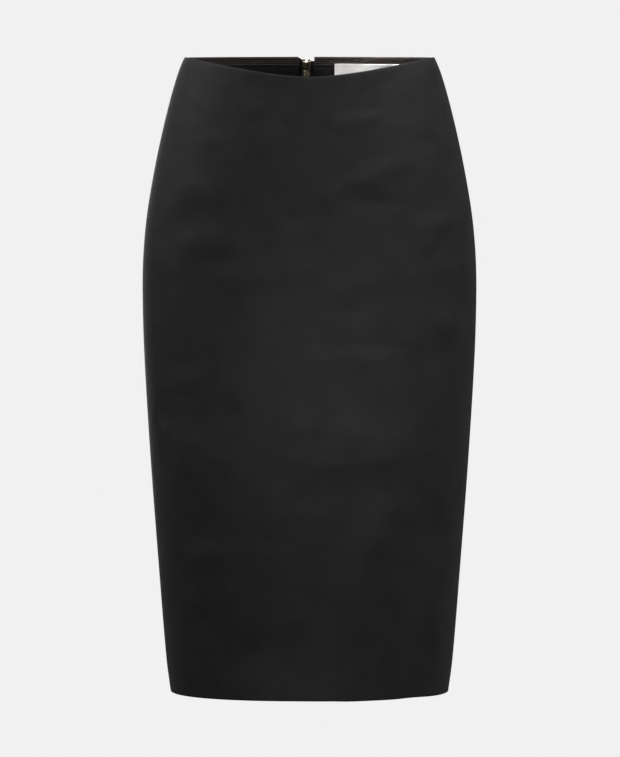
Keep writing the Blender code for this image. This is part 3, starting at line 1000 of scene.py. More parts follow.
def drawn_out(form: BMesh, faces: Sequence[BMFace], move: Sequence[float],
              keep: bool = False) -> list[BMFace]:
    """Draw faces out to a new place, with walls between.

    Args:
        form: The bmesh that they are in.
        faces: The faces.
        move: How far they go.
        keep: Whether they also stay where they were, which gives a flat sheet its wall.

    Returns:
        The faces at their new place.
    """
    made = bmesh.ops.extrude_face_region(form, geom=faces, use_keep_orig=keep)["geom"]
    corners = [part for part in made if isinstance(part, BMVert)]
    bmesh.ops.translate(form, verts=corners, vec=move)
    return [part for part in made if isinstance(part, BMFace)]


def corners_of(faces: Sequence[BMFace]) -> set[BMVert]:
    """Return the corners of some faces."""
    return {corner for face in faces for corner in face.verts}


def add_block(form: BMesh, low: Sequence[float], high: Sequence[float], radius: float,
              segments: int = 2) -> None:
    """Add a box between two corners, its edges rounded.

    Args:
        form: The bmesh that takes it.
        low: The lowest corner.
        high: The highest corner.
        radius: The radius of its edges.
        segments: How many steps an edge has.
    """
    made = bmesh.ops.create_cube(form, size=1.0)["verts"]
    bmesh.ops.scale(form, vec=Vector(high) - Vector(low), verts=made)
    bmesh.ops.translate(form, vec=0.5 * (Vector(high) + Vector(low)), verts=made)
    edges = list({edge for vertex in made for edge in vertex.link_edges})
    round_edges(form, edges, radius, segments)


def add_piece(name: str, mesh: Mesh, material: Material, body: str = "skirt",
              crisp: Crisp = Crisp.CLOTH) -> Object:
    """Add a finished mesh to the scene as one piece that rides on a body.

    Args:
        name: The piece's name.
        mesh: Its mesh, already in place.
        material: Its material.
        body: The body that it rides on.
        crisp: Which of its edges stay sharp.

    Returns:
        The piece.
    """
    mesh.name = name
    mesh.materials.clear()
    mesh.materials.append(material)
    mesh.shade_smooth()
    mesh.set_sharp_from_angle(angle=math.radians(crisp.value))
    piece = bpy.data.objects.new(name, mesh)
    bpy.context.scene.collection.objects.link(piece)
    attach(piece, body)
    LOG.info("%s: %d faces, on %s", name, len(mesh.polygons), body)
    return piece


def mesh_of(form: BMesh) -> Mesh:
    """Turn a bmesh into a mesh and free it.

    Args:
        form: The bmesh.

    Returns:
        The mesh.
    """
    mesh = bpy.data.meshes.new("made")
    form.to_mesh(mesh)
    form.free()
    return mesh


def repeated(form: BMesh, places: Sequence[Matrix]) -> Mesh:
    """Join copies of a small form, and free the form.

    Args:
        form: The form.
        places: A frame for each copy.

    Returns:
        One mesh of all the copies.
    """
    pattern = mesh_of(form)
    joined = bmesh.new()
    for place in places:
        copy = pattern.copy()
        copy.transform(place)
        joined.from_mesh(copy)
        bpy.data.meshes.remove(copy)
    bpy.data.meshes.remove(pattern)
    return mesh_of(joined)


class Dart(NamedTuple):
    """A sewn dart, from the waist edge to its point."""

    across: float
    point_across: float
    point_level: float
    half_width: float
    depth: float


@dataclass(frozen=True)
class Cut:
    """One flat-cut piece of cloth.

    edges gives the piece's two sides, as distances across, at levels; depth gives how far in
    its outer face lies; thickness gives its wall; trim moves the levels of its ends.
    """

    name: str
    side: Side
    levels: tuple[float, ...]
    columns: int
    edges: Reach
    depth: Amount
    thickness: Amount
    nominal: float = 0.0015             # its thickness while it lies flat
    rim: float = 0.0004                 # radius of its soft rims
    rim_segments: int = 3
    trim: Amount | None = None
    darts: tuple[Dart, ...] = ()

    def flat_size(self, extra: float = 0.0) -> tuple[tuple[float, float], float]:
        """Return the flat size and area of the cut.

        Args:
            extra: Length that is turned up at its foot, in metres.

        Returns:
            Its greatest width and its length, and its area.
        """
        levels = np.array(self.levels)
        first, last = self.edges(levels)
        widths = last - first
        length = float(levels[0] - levels[-1]) + extra
        area = float(np.sum(0.5 * (widths[1:] + widths[:-1]) * -np.diff(levels)))
        return (float(widths.max()), length), area + extra * float(widths[-1])


@dataclass
class Tailor:
    """Cuts pieces flat and wraps them onto the skirt's surface."""

    form: SkirtForm
    dart_cuts: tuple[float, ...] = (-2.0, -1.0, 0.0, 1.0, 2.0)   # half-widths beside its line
    dart_cut_reach: float = 0.00002     # corners this near to a cut count as on it
    dart_reach: float = 1.5             # half-widths over which a dart's sides sink
    dart_end: float = 0.15              # share of its length over which its point dies away

    def slab(self, cut: Cut) -> BMesh:
        """Cut a piece's flat slab: X across, Y its level, Z in from its outer face.

        Args:
            cut: The piece.

        Returns:
            The slab, its rims rounded.
        """
        slab = bmesh.new()
        rows = len(cut.levels) - 1
        bmesh.ops.create_grid(slab, x_segments=cut.columns, y_segments=rows, size=1.0)
        spots = np.array([vertex.co for vertex in slab.verts])
        row = np.rint(0.5 * (1.0 - spots[:, 1]) * rows).astype(int)
        level = np.array(cut.levels)[row]
        first, last = cut.edges(level)
        across = first + (last - first) * 0.5 * (spots[:, 0] + 1.0)
        if cut.trim is not None:
            level = cut.trim(across, level)
        for vertex, x, y in zip(slab.verts, across, level):
            vertex.co = (x, y, 0.0)
        for dart in cut.darts:
            self.mark_dart(slab, dart)
        inner = corners_of(drawn_out(slab, slab.faces[:], (0.0, 0.0, cut.nominal), keep=True))
        rims = []
        for edge in slab.edges:
            # A rim has a broad face on one side, and on the other a face of the thin wall,
            # which has corners on both layers.
            walls = {0 < sum(corner in inner for corner in face.verts) < len(face.verts)
                     for face in edge.link_faces}
            if len(walls) == 2:
                rims.append(edge)
        round_edges(slab, rims, cut.rim, cut.rim_segments)
        return slab

    def mark_dart(self, slab: BMesh, dart: Dart) -> None:
        """Cut a flat piece along a dart's line and beside it, so that the dart can sink in.

        Args:
            slab: The flat piece.
            dart: The dart.
        """
        run = Vector((dart.point_across - dart.across, dart.point_level, 0.0))
        beside = run.cross(Vector((0.0, 0.0, 1.0))).normalized()
        for share in self.dart_cuts:
            middle = Vector((dart.across, 0.0, 0.0)) + beside * share * dart.half_width
            bmesh.ops.bisect_plane(slab, geom=[*slab.verts, *slab.edges, *slab.faces],
                                   dist=self.dart_cut_reach, plane_co=middle, plane_no=beside)

    def dart_sink(self, cut: Cut, across: np.ndarray, level: np.ndarray) -> np.ndarray:
        """Return how far a piece's darts sink its cloth.

        Args:
            cut: The piece.
            across: Distances across.
            level: Levels, as many.

        Returns:
            The depths that its darts add.
        """
        sink = np.zeros_like(across)
        for dart in cut.darts:
            share = level / dart.point_level
            line = dart.across + (dart.point_across - dart.across) * share
            beside = 1.0 - np.abs(across - line) / (self.dart_reach * dart.half_width)
            sink += dart.depth * ease(beside) * ease((1.0 - share) / self.dart_end)
        return sink

    def wrap(self, slab: BMesh, cut: Cut) -> Mesh:
        """Wrap a flat slab onto the skirt.

        Args:
            slab: The slab, which is freed.
            cut: The piece that it is of.

        Returns:
            Its mesh, with the flat cut kept as its UVs.
        """
        flat = np.array([vertex.co for vertex in slab.verts])
        across, level = flat[:, 0], flat[:, 1]
        wall = cut.thickness(across, level) * flat[:, 2] / cut.nominal
        depth = cut.depth(across, level) + wall + self.dart_sink(cut, across, level)
        points = self.form.cloth_point(cut.side, across, level, depth)
        for vertex, point in zip(slab.verts, points):
            vertex.co = point
        face_outwards(slab)
        mesh = mesh_of(slab)
        corners = np.empty(len(mesh.loops), int)
        mesh.loops.foreach_get("vertex_index", corners)
        layer = mesh.uv_layers.new(name=FLAT_CUT)
        layer.data.foreach_set("uv", flat[corners, :2].astype(np.float32).ravel())
        return mesh

    def make(self, cut: Cut, material: Material, slot: str) -> Object:
        """Cut one piece, wrap it and add it to the scene."""
        return add_piece(cut.name, self.wrap(self.slab(cut), cut), material)


@dataclass(frozen=True)
class Stitches:
    """One kind of stitch: a short rounded thread of a few dozen faces."""

    length: float = 0.0022
    radius: float = 0.00020
    pitch: float = 0.0030
    lean: float = 0.0                   # degrees that it turns from its row, to and fro
    sides: int = 6
    rings: int = 4

    def thread(self) -> BMesh:
        """Make one stitch, along Z, centred on the origin.

        Returns:
            Its bmesh.
        """
        form = bmesh.new()
        bmesh.ops.create_uvsphere(form, u_segments=self.sides, v_segments=self.rings, radius=1.0)
        bmesh.ops.scale(form, vec=(self.radius, self.radius, 0.5 * self.length),
                        verts=form.verts)
        return form

    def row(self, form: SkirtForm, side: Side, line: Sequence[Place],
            depth: float) -> list[Matrix]:
        """Return the places of the stitches along a line of the cloth.

        Args:
            form: The skirt's surface.
            side: The front or the back.
            line: The places that the row runs through.
            depth: How deep in the threads' middles lie.

        Returns:
            One frame for each stitch.
        """
        places = []
        for start, end in zip(line, line[1:]):
            run = Vector(end) - Vector(start)
            count = max(1, round(run.length / self.pitch))
            for number in range(count):
                spot = Vector(start) + run * (number + 0.5) / count
                lean = math.radians(self.lean if number % 2 else -self.lean)
                frame = form.place(side, spot.x, spot.y, depth)
                places.append(frame @ Matrix.Rotation(lean + math.atan2(run.x, run.y), 4, "Y"))
        return places

    def sew(self, name: str, places: Sequence[Matrix], thread: Material,
            slot: str = "skirt_cloth") -> Object:
        """Add the stitches at all their places as one piece."""
        return add_piece(name, repeated(self.thread(), places), thread)


# ---------------- the skirt's cloth


def steady(value: float) -> Callable[..., np.ndarray]:
    """Return a function that gives the same value at every place."""
    return lambda place, *others: np.full_like(place, value)


def between(first: Line, last: Line) -> Reach:
    """Return the edges of a piece that lies between two lines."""
    return lambda level: (first(level), last(level))


def beside(line: Line, width: float) -> Reach:
    """Return the edges of a strip that lies along a line.

    Args:
        line: One of its edges.
        width: How far across the other edge lies, below 0 where that is the smaller one.

    Returns:
        Its two edges, the smaller first.
    """
    def other(level: np.ndarray) -> np.ndarray:
        """Return the edge that lies off the line."""
        return line(level) + width
    return between(line, other) if width > 0.0 else between(other, line)


def even(top: float, foot: float, step: float) -> tuple[float, ...]:
    """Return evenly spaced levels about a step apart."""
    return tuple(np.linspace(top, foot, round((top - foot) / step) + 1))


class Strip(NamedTuple):
    """One pressed-open seam allowance."""

    name: str
    panel: str                  # the cloth that it lies against
    side: Side
    edges: Reach
    top: float
    foot: float
    raw: int                    # which of its two edges is the raw one

    def raw_line(self, step: float = 0.03) -> list[Place]:
        """Return places along the strip's raw edge, about a step apart."""
        levels = np.linspace(self.top, self.foot, max(2, round((self.top - self.foot) / step)))
        return list(zip(self.edges(levels)[self.raw].tolist(), levels.tolist()))


@dataclass
class Panels:
    """The front, the two backs, and what is sewn inside them."""

    tailor: Tailor
    finishes: Finishes
    row_height: float = 0.0030
    row_spare: float = 0.3              # share of a row that it keeps off the window's corners
    front_columns: int = 144
    back_columns: int = 74
    turn_step: float = 0.0003           # half the height over which the hem's turn thickens
    margin: float = 0.0010              # how far strips and rows of stitches keep off an edge
    seam_allowance: float = 0.014
    centre_allowance: float = 0.016
    slit_allowance: float = 0.030
    allowance_cloth: float = 0.0007
    allowance_gap: float = 0.0001
    allowance_row: float = 0.006
    allowance_columns: int = 4
    allowance_rim: float = 0.0002
    below_window: float = 0.012         # from the zip's window to the centre allowance
    above_slit: float = 0.020           # from the slit up to where that allowance widens
    joint_gap: float = 0.0005
    dart_across: float = 0.064
    dart_point_across: float = 0.071
    dart_point_level: float = -0.104
    dart_half_width: float = 0.0007
    dart_depth: float = 0.0007
    overlock: Stitches = Stitches(length=0.0030, radius=0.00014, pitch=0.0016, lean=55.0)
    seam: Stitches = Stitches(length=0.0066, radius=0.0003, pitch=0.0030)
    seam_turns: int = 24                # places that a side seam's row runs through
    topstitch: Stitches = Stitches()
    topstitch_top: float = -0.003
    topstitch_beside: float = 0.0022    # from the window's sides
    topstitch_below: float = 0.0034     # and from its foot
    topstitch_rise: float = 0.00003     # how far the threads' middles stand out
    tack: Stitches = Stitches(length=0.0018, radius=0.00016, pitch=0.00045, lean=80.0)
    tack_half_width: float = 0.0045
    tack_rise: float = 0.00006
    hem: Stitches = Stitches(length=0.0040, radius=0.00012, pitch=0.0065, lean=35.0)
    hem_above: float = 0.0008           # above the turned-up edge
    hem_depth: float = 0.0003           # in from the cloth's inner face
    hem_off_seam: float = 0.002
    hem_off_slit: float = 0.004

    def levels(self, extra: Sequence[float] = ()) -> tuple[float, ...]:
        """Return a panel's rows, close together where the hem turns and at extra levels.

        Args:
            extra: Levels that get a row of their own.

        Returns:
            The levels, from the waist down.
        """
        sizes = self.tailor.form.sizes
        turn = sizes.hem_turn_top
        above = np.linspace(0.0, turn + self.turn_step, round(-turn / self.row_height) + 1)
        below = np.linspace(turn - self.turn_step, sizes.hem_level,
                            round(sizes.hem_turn / self.row_height) + 1)
        rows = [*above, *below]
        if extra:
            spare = self.row_spare * self.row_height
            rows = [row for row in rows if row > max(extra) + spare or row < min(extra) - spare]
            rows += extra
        return tuple(sorted(rows, reverse=True))

    def thickness(self, across: np.ndarray, level: np.ndarray) -> np.ndarray:
        """Return the wall: one layer, and the turned-up layer as well at the hem.

        Args:
            across: Distances across.
            level: Levels, as many.

        Returns:
            The thicknesses.
        """
        sizes = self.tailor.form.sizes
        turned = (level < sizes.hem_turn_top).astype(float)
        return sizes.cloth + sizes.hem_turn_cloth * turned

    def side_line(self, side: Side, sign: float) -> Line:
        """Return where a side seam runs: the left one where sign is 1, the right where -1."""
        return lambda level: sign * (self.tailor.form.half_length(side, level) - SEAM_GAP)

    def centre_line(self, sign: float) -> Line:
        """Return where the centre back runs on the left (sign 1) or right (sign -1) back."""
        form = self.tailor.form
        return lambda level: form.sizes.centre_back + sign * form.centre_gap(level)

    def edges(self, side: Side, sign: float = 1.0) -> Reach:
        """Return a panel's edges.

        Args:
            side: The front or the back.
            sign: Which back it is, 1 for the left and -1 for the right.

        Returns:
            Its two edges, the smaller first.
        """
        if side is Side.FRONT:
            return between(self.side_line(side, -1.0), self.side_line(side, 1.0))
        if sign > 0.0:
            return between(self.centre_line(sign), self.side_line(side, sign))
        return between(self.side_line(side, sign), self.centre_line(sign))

    def make(self) -> None:
        """Make the panels, the seam allowances and the sewing that shows."""
        sizes = self.tailor.form.sizes
        front = Cut("front_cloth", Side.FRONT, self.levels(), self.front_columns,
                    self.edges(Side.FRONT), steady(0.0), self.thickness)
        self.dress(front, "front_panel")
        corner = (sizes.zip_window_foot, sizes.zip_window_foot - 0.5 * sizes.zip_window_corner,
                  sizes.zip_window_foot - sizes.zip_window_corner)
        for name, sign in (("left", 1.0), ("right", -1.0)):
            dart = Dart(sign * self.dart_across, sign * self.dart_point_across,
                        self.dart_point_level, self.dart_half_width, self.dart_depth)
            back = Cut(f"back_cloth_{name}", Side.BACK, self.levels(corner), self.back_columns,
                       self.edges(Side.BACK, sign), steady(0.0), self.thickness,
                       darts=(dart,))
            self.dress(back, f"back_panel_{name}")
        self.make_allowances()
        self.make_seams()
        self.make_zip_and_slit_stitches()
        self.make_hem_stitches()
        LOG.info("panels made with a row every %.1f mm", 1000.0 * self.row_height)

    def dress(self, cut: Cut, node: str) -> None:
        """Make one panel in place of its solid.

        Args:
            cut: The panel.
            node: Its solid.
        """
        piece = self.tailor.make(cut, self.finishes.cloth, "skirt_cloth")
        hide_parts(node)
        flat, area = cut.flat_size(self.tailor.form.sizes.hem_turn)

    def strips(self) -> list[Strip]:
        """Return the side seams' and the centre back's allowances.

        Returns:
            The strips, those of the left back first.
        """
        sizes = self.tailor.form.sizes
        joint = sizes.slit_top + self.above_slit
        strips = []
        for name, sign in (("left", 1.0), ("right", -1.0)):
            inner, outer = (0, 1) if sign > 0.0 else (1, 0)
            back = f"back_cloth_{name}"
            for side, panel in ((Side.FRONT, "front_cloth"), (Side.BACK, back)):
                strips.append(Strip(f"side_allowance_{side.value}_{name}", panel, side,
                                    beside(self.side_line(side, sign),
                                           -sign * self.seam_allowance),
                                    -sizes.facing_height - self.margin,
                                    sizes.hem_turn_top + self.margin, inner))
            strips.append(Strip(f"centre_allowance_{name}", back, Side.BACK,
                                beside(self.centre_line(sign), sign * self.centre_allowance),
                                sizes.zip_window_foot - self.below_window, joint, outer))
            strips.append(Strip(f"slit_allowance_{name}", back, Side.BACK,
                                beside(self.centre_line(sign), sign * self.slit_allowance),
                                joint - self.joint_gap, sizes.hem_level + self.margin, outer))
        return strips

    def make_allowances(self) -> None:
        """Make the pressed-open seam allowances that show on the inside."""
        form = self.tailor.form
        depth = form.sizes.cloth + self.allowance_cloth + self.allowance_gap
        places = []
        for strip in self.strips():
            cut = Cut(strip.name, strip.side, even(strip.top, strip.foot, self.allowance_row),
                      self.allowance_columns, strip.edges, self.under_cloth,
                      steady(self.allowance_cloth), nominal=self.allowance_cloth,
                      rim=self.allowance_rim, rim_segments=2)
            piece = self.tailor.make(cut, self.finishes.cloth, "skirt_cloth")
            flat, area = cut.flat_size()
            places += self.overlock.row(form, strip.side, strip.raw_line(), depth)
        self.overlock.sew("overlocking", places, self.finishes.black_thread)

    def under_cloth(self, across: np.ndarray, level: np.ndarray) -> np.ndarray:
        """Return the depth of what lies straight on the panels' inner face."""
        return self.thickness(across, level) + self.allowance_gap

    def make_seams(self) -> None:
        """Make the thread that draws the panels together at the side seams and centre back."""
        form, sizes = self.tailor.form, self.tailor.form.sizes
        depth = 0.5 * sizes.cloth
        levels = np.linspace(-self.margin, sizes.hem_level + self.margin, self.seam_turns)
        reach = form.half_length(Side.FRONT, levels)
        places = []
        for sign in (-1.0, 1.0):
            line = list(zip((sign * reach).tolist(), levels.tolist()))
            places += self.seam.row(form, Side.FRONT, line, depth)
        closed = [(sizes.centre_back, sizes.zip_window_foot - sizes.zip_window_corner),
                  (sizes.centre_back, sizes.slit_top)]
        places += self.seam.row(form, Side.BACK, closed, depth)
        self.seam.sew("seam_thread", places, self.finishes.black_thread)

    def make_zip_and_slit_stitches(self) -> None:
        """Make the topstitching round the zip and the bar tack over the slit."""
        form, sizes = self.tailor.form, self.tailor.form.sizes
        left = sizes.centre_back + 0.5 * sizes.zip_window + self.topstitch_beside
        right = sizes.centre_back - 0.5 * sizes.zip_window - self.topstitch_beside
        foot = sizes.zip_window_foot - self.topstitch_below
        round_zip = [(left, self.topstitch_top), (left, foot), (right, foot),
                     (right, self.topstitch_top)]
        places = self.topstitch.row(form, Side.BACK, round_zip, -self.topstitch_rise)
        self.topstitch.sew("zip_topstitching", places, self.finishes.black_thread)
        level = sizes.slit_top + self.margin
        bar = [(sizes.centre_back - self.tack_half_width, level),
               (sizes.centre_back + self.tack_half_width, level)]
        places = self.tack.row(form, Side.BACK, bar, -self.tack_rise)
        self.tack.sew("slit_bar_tack", places, self.finishes.black_thread)

    def make_hem_stitches(self) -> None:
        """Make the hand stitches that hold the turned-up hem."""
        form, sizes = self.tailor.form, self.tailor.form.sizes
        level = sizes.hem_turn_top + self.hem_above
        places = []
        for side in Side:
            reach = float(form.half_length(side, level)) - self.seam_allowance
            far = reach - self.hem_off_seam
            near = self.slit_allowance + self.hem_off_slit if side is Side.BACK else 0.0
            for sign in (-1.0, 1.0):
                places += self.hem.row(form, side, [(sign * near, level), (sign * far, level)],
                                       sizes.cloth + self.hem_depth)
        self.hem.sew("hem_stitches", places, self.finishes.black_thread)


@dataclass
class WaistFinish:
    """The ribbed tape and the facing inside the waist, and the blank label on them."""

    tailor: Tailor
    finishes: Finishes
    panels: Panels
    rib_pitch: float = 0.0020
    rib_height: float = 0.00030
    rib_row: float = 0.00040
    rib_rim: float = 0.00015
    facing_row: float = 0.0050
    facing_rim: float = 0.0003
    front_columns: int = 110
    back_columns: int = 56
    label_start: float = 0.0260
    label_width: float = 0.0755
    label_top: float = 0.0066
    label_height: float = 0.0250
    label_cloth: float = 0.0008
    label_single: float = 0.55          # share of that where its cloth is single
    label_gap: float = 0.0006
    label_fold: float = 0.0060          # how far its ends are folded under
    label_step: float = 0.0006          # half the width over which the fold's edge falls
    label_row: float = 0.0010
    label_columns: int = 95
    label_rim: float = 0.00025
    label_sewing: Stitches = Stitches(length=0.0019, radius=0.00013, pitch=0.0024)
    sewing_inset: float = 0.0018        # from the label's ends
    sewing_margin: float = 0.001        # from its long edges
    sewing_rise: float = 0.00004

    def lining_depth(self, across: np.ndarray, level: np.ndarray) -> np.ndarray:
        """Return the depth of the facing's outer face, deeper where it lies on a zip tape.

        Args:
            across: Distances across.
            level: Levels, as many.

        Returns:
            The depths.
        """
        sizes = self.tailor.form.sizes
        reach = 0.5 * sizes.chain_width + sizes.gap + sizes.zip_tape_width
        past = (np.abs(across - sizes.centre_back) - sizes.gap) / reach - 1.0
        return sizes.cloth + sizes.gap + (sizes.zip_tape + sizes.gap) * ease(1.0 - past)

    def tape_wall(self, across: np.ndarray, level: np.ndarray) -> np.ndarray:
        """Return the ribbed tape's thickness: ribs that run round the waist.

        Args:
            across: Distances across.
            level: Levels, as many.

        Returns:
            The thicknesses.
        """
        sizes = self.tailor.form.sizes
        turn = math.pi * (level - sizes.waist_tape_foot) / self.rib_pitch
        return sizes.facing - self.rib_height + 2.0 * self.rib_height * np.abs(np.sin(turn))

    def label_depth(self, across: np.ndarray, level: np.ndarray) -> np.ndarray:
        """Return the depth of the label's outer face."""
        return self.lining_depth(across, level) + self.tailor.form.sizes.facing + self.label_gap

    def label_wall(self, across: np.ndarray, level: np.ndarray) -> np.ndarray:
        """Return the label's thickness, doubled where its ends are folded under.

        Args:
            across: Distances across.
            level: Levels, as many.

        Returns:
            The thicknesses.
        """
        from_end = np.minimum(across - self.label_start,
                              self.label_start + self.label_width - across)
        past = (from_end - self.label_fold + self.label_step) / (2.0 * self.label_step)
        folded = 1.0 - ease(past)
        return self.label_cloth * (self.label_single + (1.0 - self.label_single) * folded)

    def make(self) -> None:
        """Make the tape, the facing and the label."""
        sizes = self.tailor.form.sizes
        tape_rows = even(-sizes.waist_tape_drop, sizes.waist_tape_foot, self.rib_row)
        facing_rows = even(sizes.waist_tape_foot - sizes.gap, -sizes.facing_height,
                           self.facing_row)
        for place, side, edges, depth, columns in self.lengths():
            tape = Cut(f"waist_tape_{place}_ribbed", side, tape_rows, columns, edges, depth,
                       self.tape_wall, nominal=sizes.facing, rim=self.rib_rim, rim_segments=1)
            facing = Cut(f"facing_{place}_cloth", side, facing_rows, columns, edges, depth,
                         steady(sizes.facing), nominal=sizes.facing, rim=self.facing_rim,
                         rim_segments=2)
            band = self.tailor.make(tape, self.finishes.ribbed_tape, "ribbed_tape")
            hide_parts(f"waist_tape_{place}")
            piece = self.tailor.make(facing, self.finishes.facing, "facing_cloth")
            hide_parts(f"facing_{place}")
            flat, area = facing.flat_size()
        self.make_label()

    def lengths(self) -> list[tuple[str, Side, Reach, Amount, int]]:
        """List the three lengths of the waist finish.

        Returns:
            The name, side, edges, depth and columns of each.
        """
        sizes, edges = self.tailor.form.sizes, self.panels.edges
        return [
            ("front", Side.FRONT, edges(Side.FRONT), steady(sizes.cloth + sizes.gap),
             self.front_columns),
            ("back_left", Side.BACK, edges(Side.BACK, 1.0), self.lining_depth,
             self.back_columns),
            ("back_right", Side.BACK, edges(Side.BACK, -1.0), self.lining_depth,
             self.back_columns),
        ]

    def make_label(self) -> None:
        """Make the blank label with its folded ends and its stitches."""
        end = self.label_start + self.label_width
        foot = -self.label_top - self.label_height
        cut = Cut("label_blank", Side.BACK, even(-self.label_top, foot, self.label_row),
                  self.label_columns, between(steady(self.label_start), steady(end)),
                  self.label_depth, self.label_wall, nominal=self.label_cloth,
                  rim=self.label_rim)
        piece = self.tailor.make(cut, self.finishes.label, "label_satin")
        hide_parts("label")
        places = []
        for across in (self.label_start + self.sewing_inset, end - self.sewing_inset):
            spot = np.array([across])
            depth = float(self.label_depth(spot, spot)[0]) + self.label_cloth
            line = [(across, -self.label_top - self.sewing_margin),
                    (across, foot + self.sewing_margin)]
            places += self.label_sewing.row(self.tailor.form, Side.BACK, line,
                                            depth + self.sewing_rise)
        sewing = self.label_sewing.sew("label_stitches", places, self.finishes.white_thread,
                                       "label_satin")
        flat, area = cut.flat_size()


# ---------------- the zip


@dataclass
class ZipCloth:
    """The zip's two woven tapes, each with a corded inner edge."""

    tailor: Tailor
    finishes: Finishes
    top: float = -0.0040
    foot: float = -0.2150
    row: float = 0.0030
    columns: int = 14
    rim: float = 0.0002
    tuck: float = 0.0004                # how far the teeth bite over a tape's inner edge
    cord_radius: float = 0.0005         # how far the corded edge stands out of the tape
    cord_width: float = 0.0016
    slant_start: float = 0.0022         # from the zip's middle to where a slanted end rises
    slant_run: float = 0.0052
    slant_rise: float = 0.0034
    slant_height: float = 0.0120        # height over which the rows take up the slant

    def make(self) -> None:
        """Make both tapes."""
        sizes = self.tailor.form.sizes
        inner = 0.5 * sizes.chain_width - self.tuck
        outer = 0.5 * sizes.chain_width + sizes.gap + sizes.zip_tape_width
        centre = sizes.centre_back
        for name, first, last in (("left", inner, outer), ("right", -outer, -inner)):
            trim = self.slanted if name == "right" else None
            cut = Cut(f"zip_tape_{name}_woven", Side.BACK, even(self.top, self.foot, self.row),
                      self.columns, between(steady(centre + first), steady(centre + last)),
                      self.depth, self.wall, nominal=sizes.zip_tape, rim=self.rim,
                      rim_segments=2, trim=trim)
            piece = self.tailor.make(cut, self.finishes.zip_tape, "zip_tape")
            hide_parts(f"zip_tape_{name}")
            flat, area = cut.flat_size()

    def corded(self, across: np.ndarray) -> np.ndarray:
        """Return how far the corded edge stands out, on each face of the tape.

        Args:
            across: Distances across.

        Returns:
            The heights.
        """
        sizes = self.tailor.form.sizes
        middle = 0.5 * sizes.chain_width - self.tuck + 0.5 * self.cord_width
        away = (np.abs(across - sizes.centre_back) - middle) / (0.5 * self.cord_width)
        return self.cord_radius * np.sqrt(np.clip(1.0 - away * away, 0.0, 1.0))

    def depth(self, across: np.ndarray, level: np.ndarray) -> np.ndarray:
        """Return the depth of the tapes' outer face."""
        sizes = self.tailor.form.sizes
        return sizes.cloth + sizes.gap - self.corded(across)

    def wall(self, across: np.ndarray, level: np.ndarray) -> np.ndarray:
        """Return the tapes' thickness."""
        return self.tailor.form.sizes.zip_tape + 2.0 * self.corded(across)

    def slanted(self, across: np.ndarray, level: np.ndarray) -> np.ndarray:
        """Return levels that rise towards the outer corner of a tape's top end.

        Args:
            across: Distances across.
            level: Levels, as many.

        Returns:
            The levels that the tape then has.
        """
        centre = self.tailor.form.sizes.centre_back
        out = (np.abs(across - centre) - self.slant_start) / self.slant_run
        rise = self.slant_rise * np.clip(out, 0.0, 1.0)
        return level + rise * ease((level - self.top + self.slant_height) / self.slant_height)


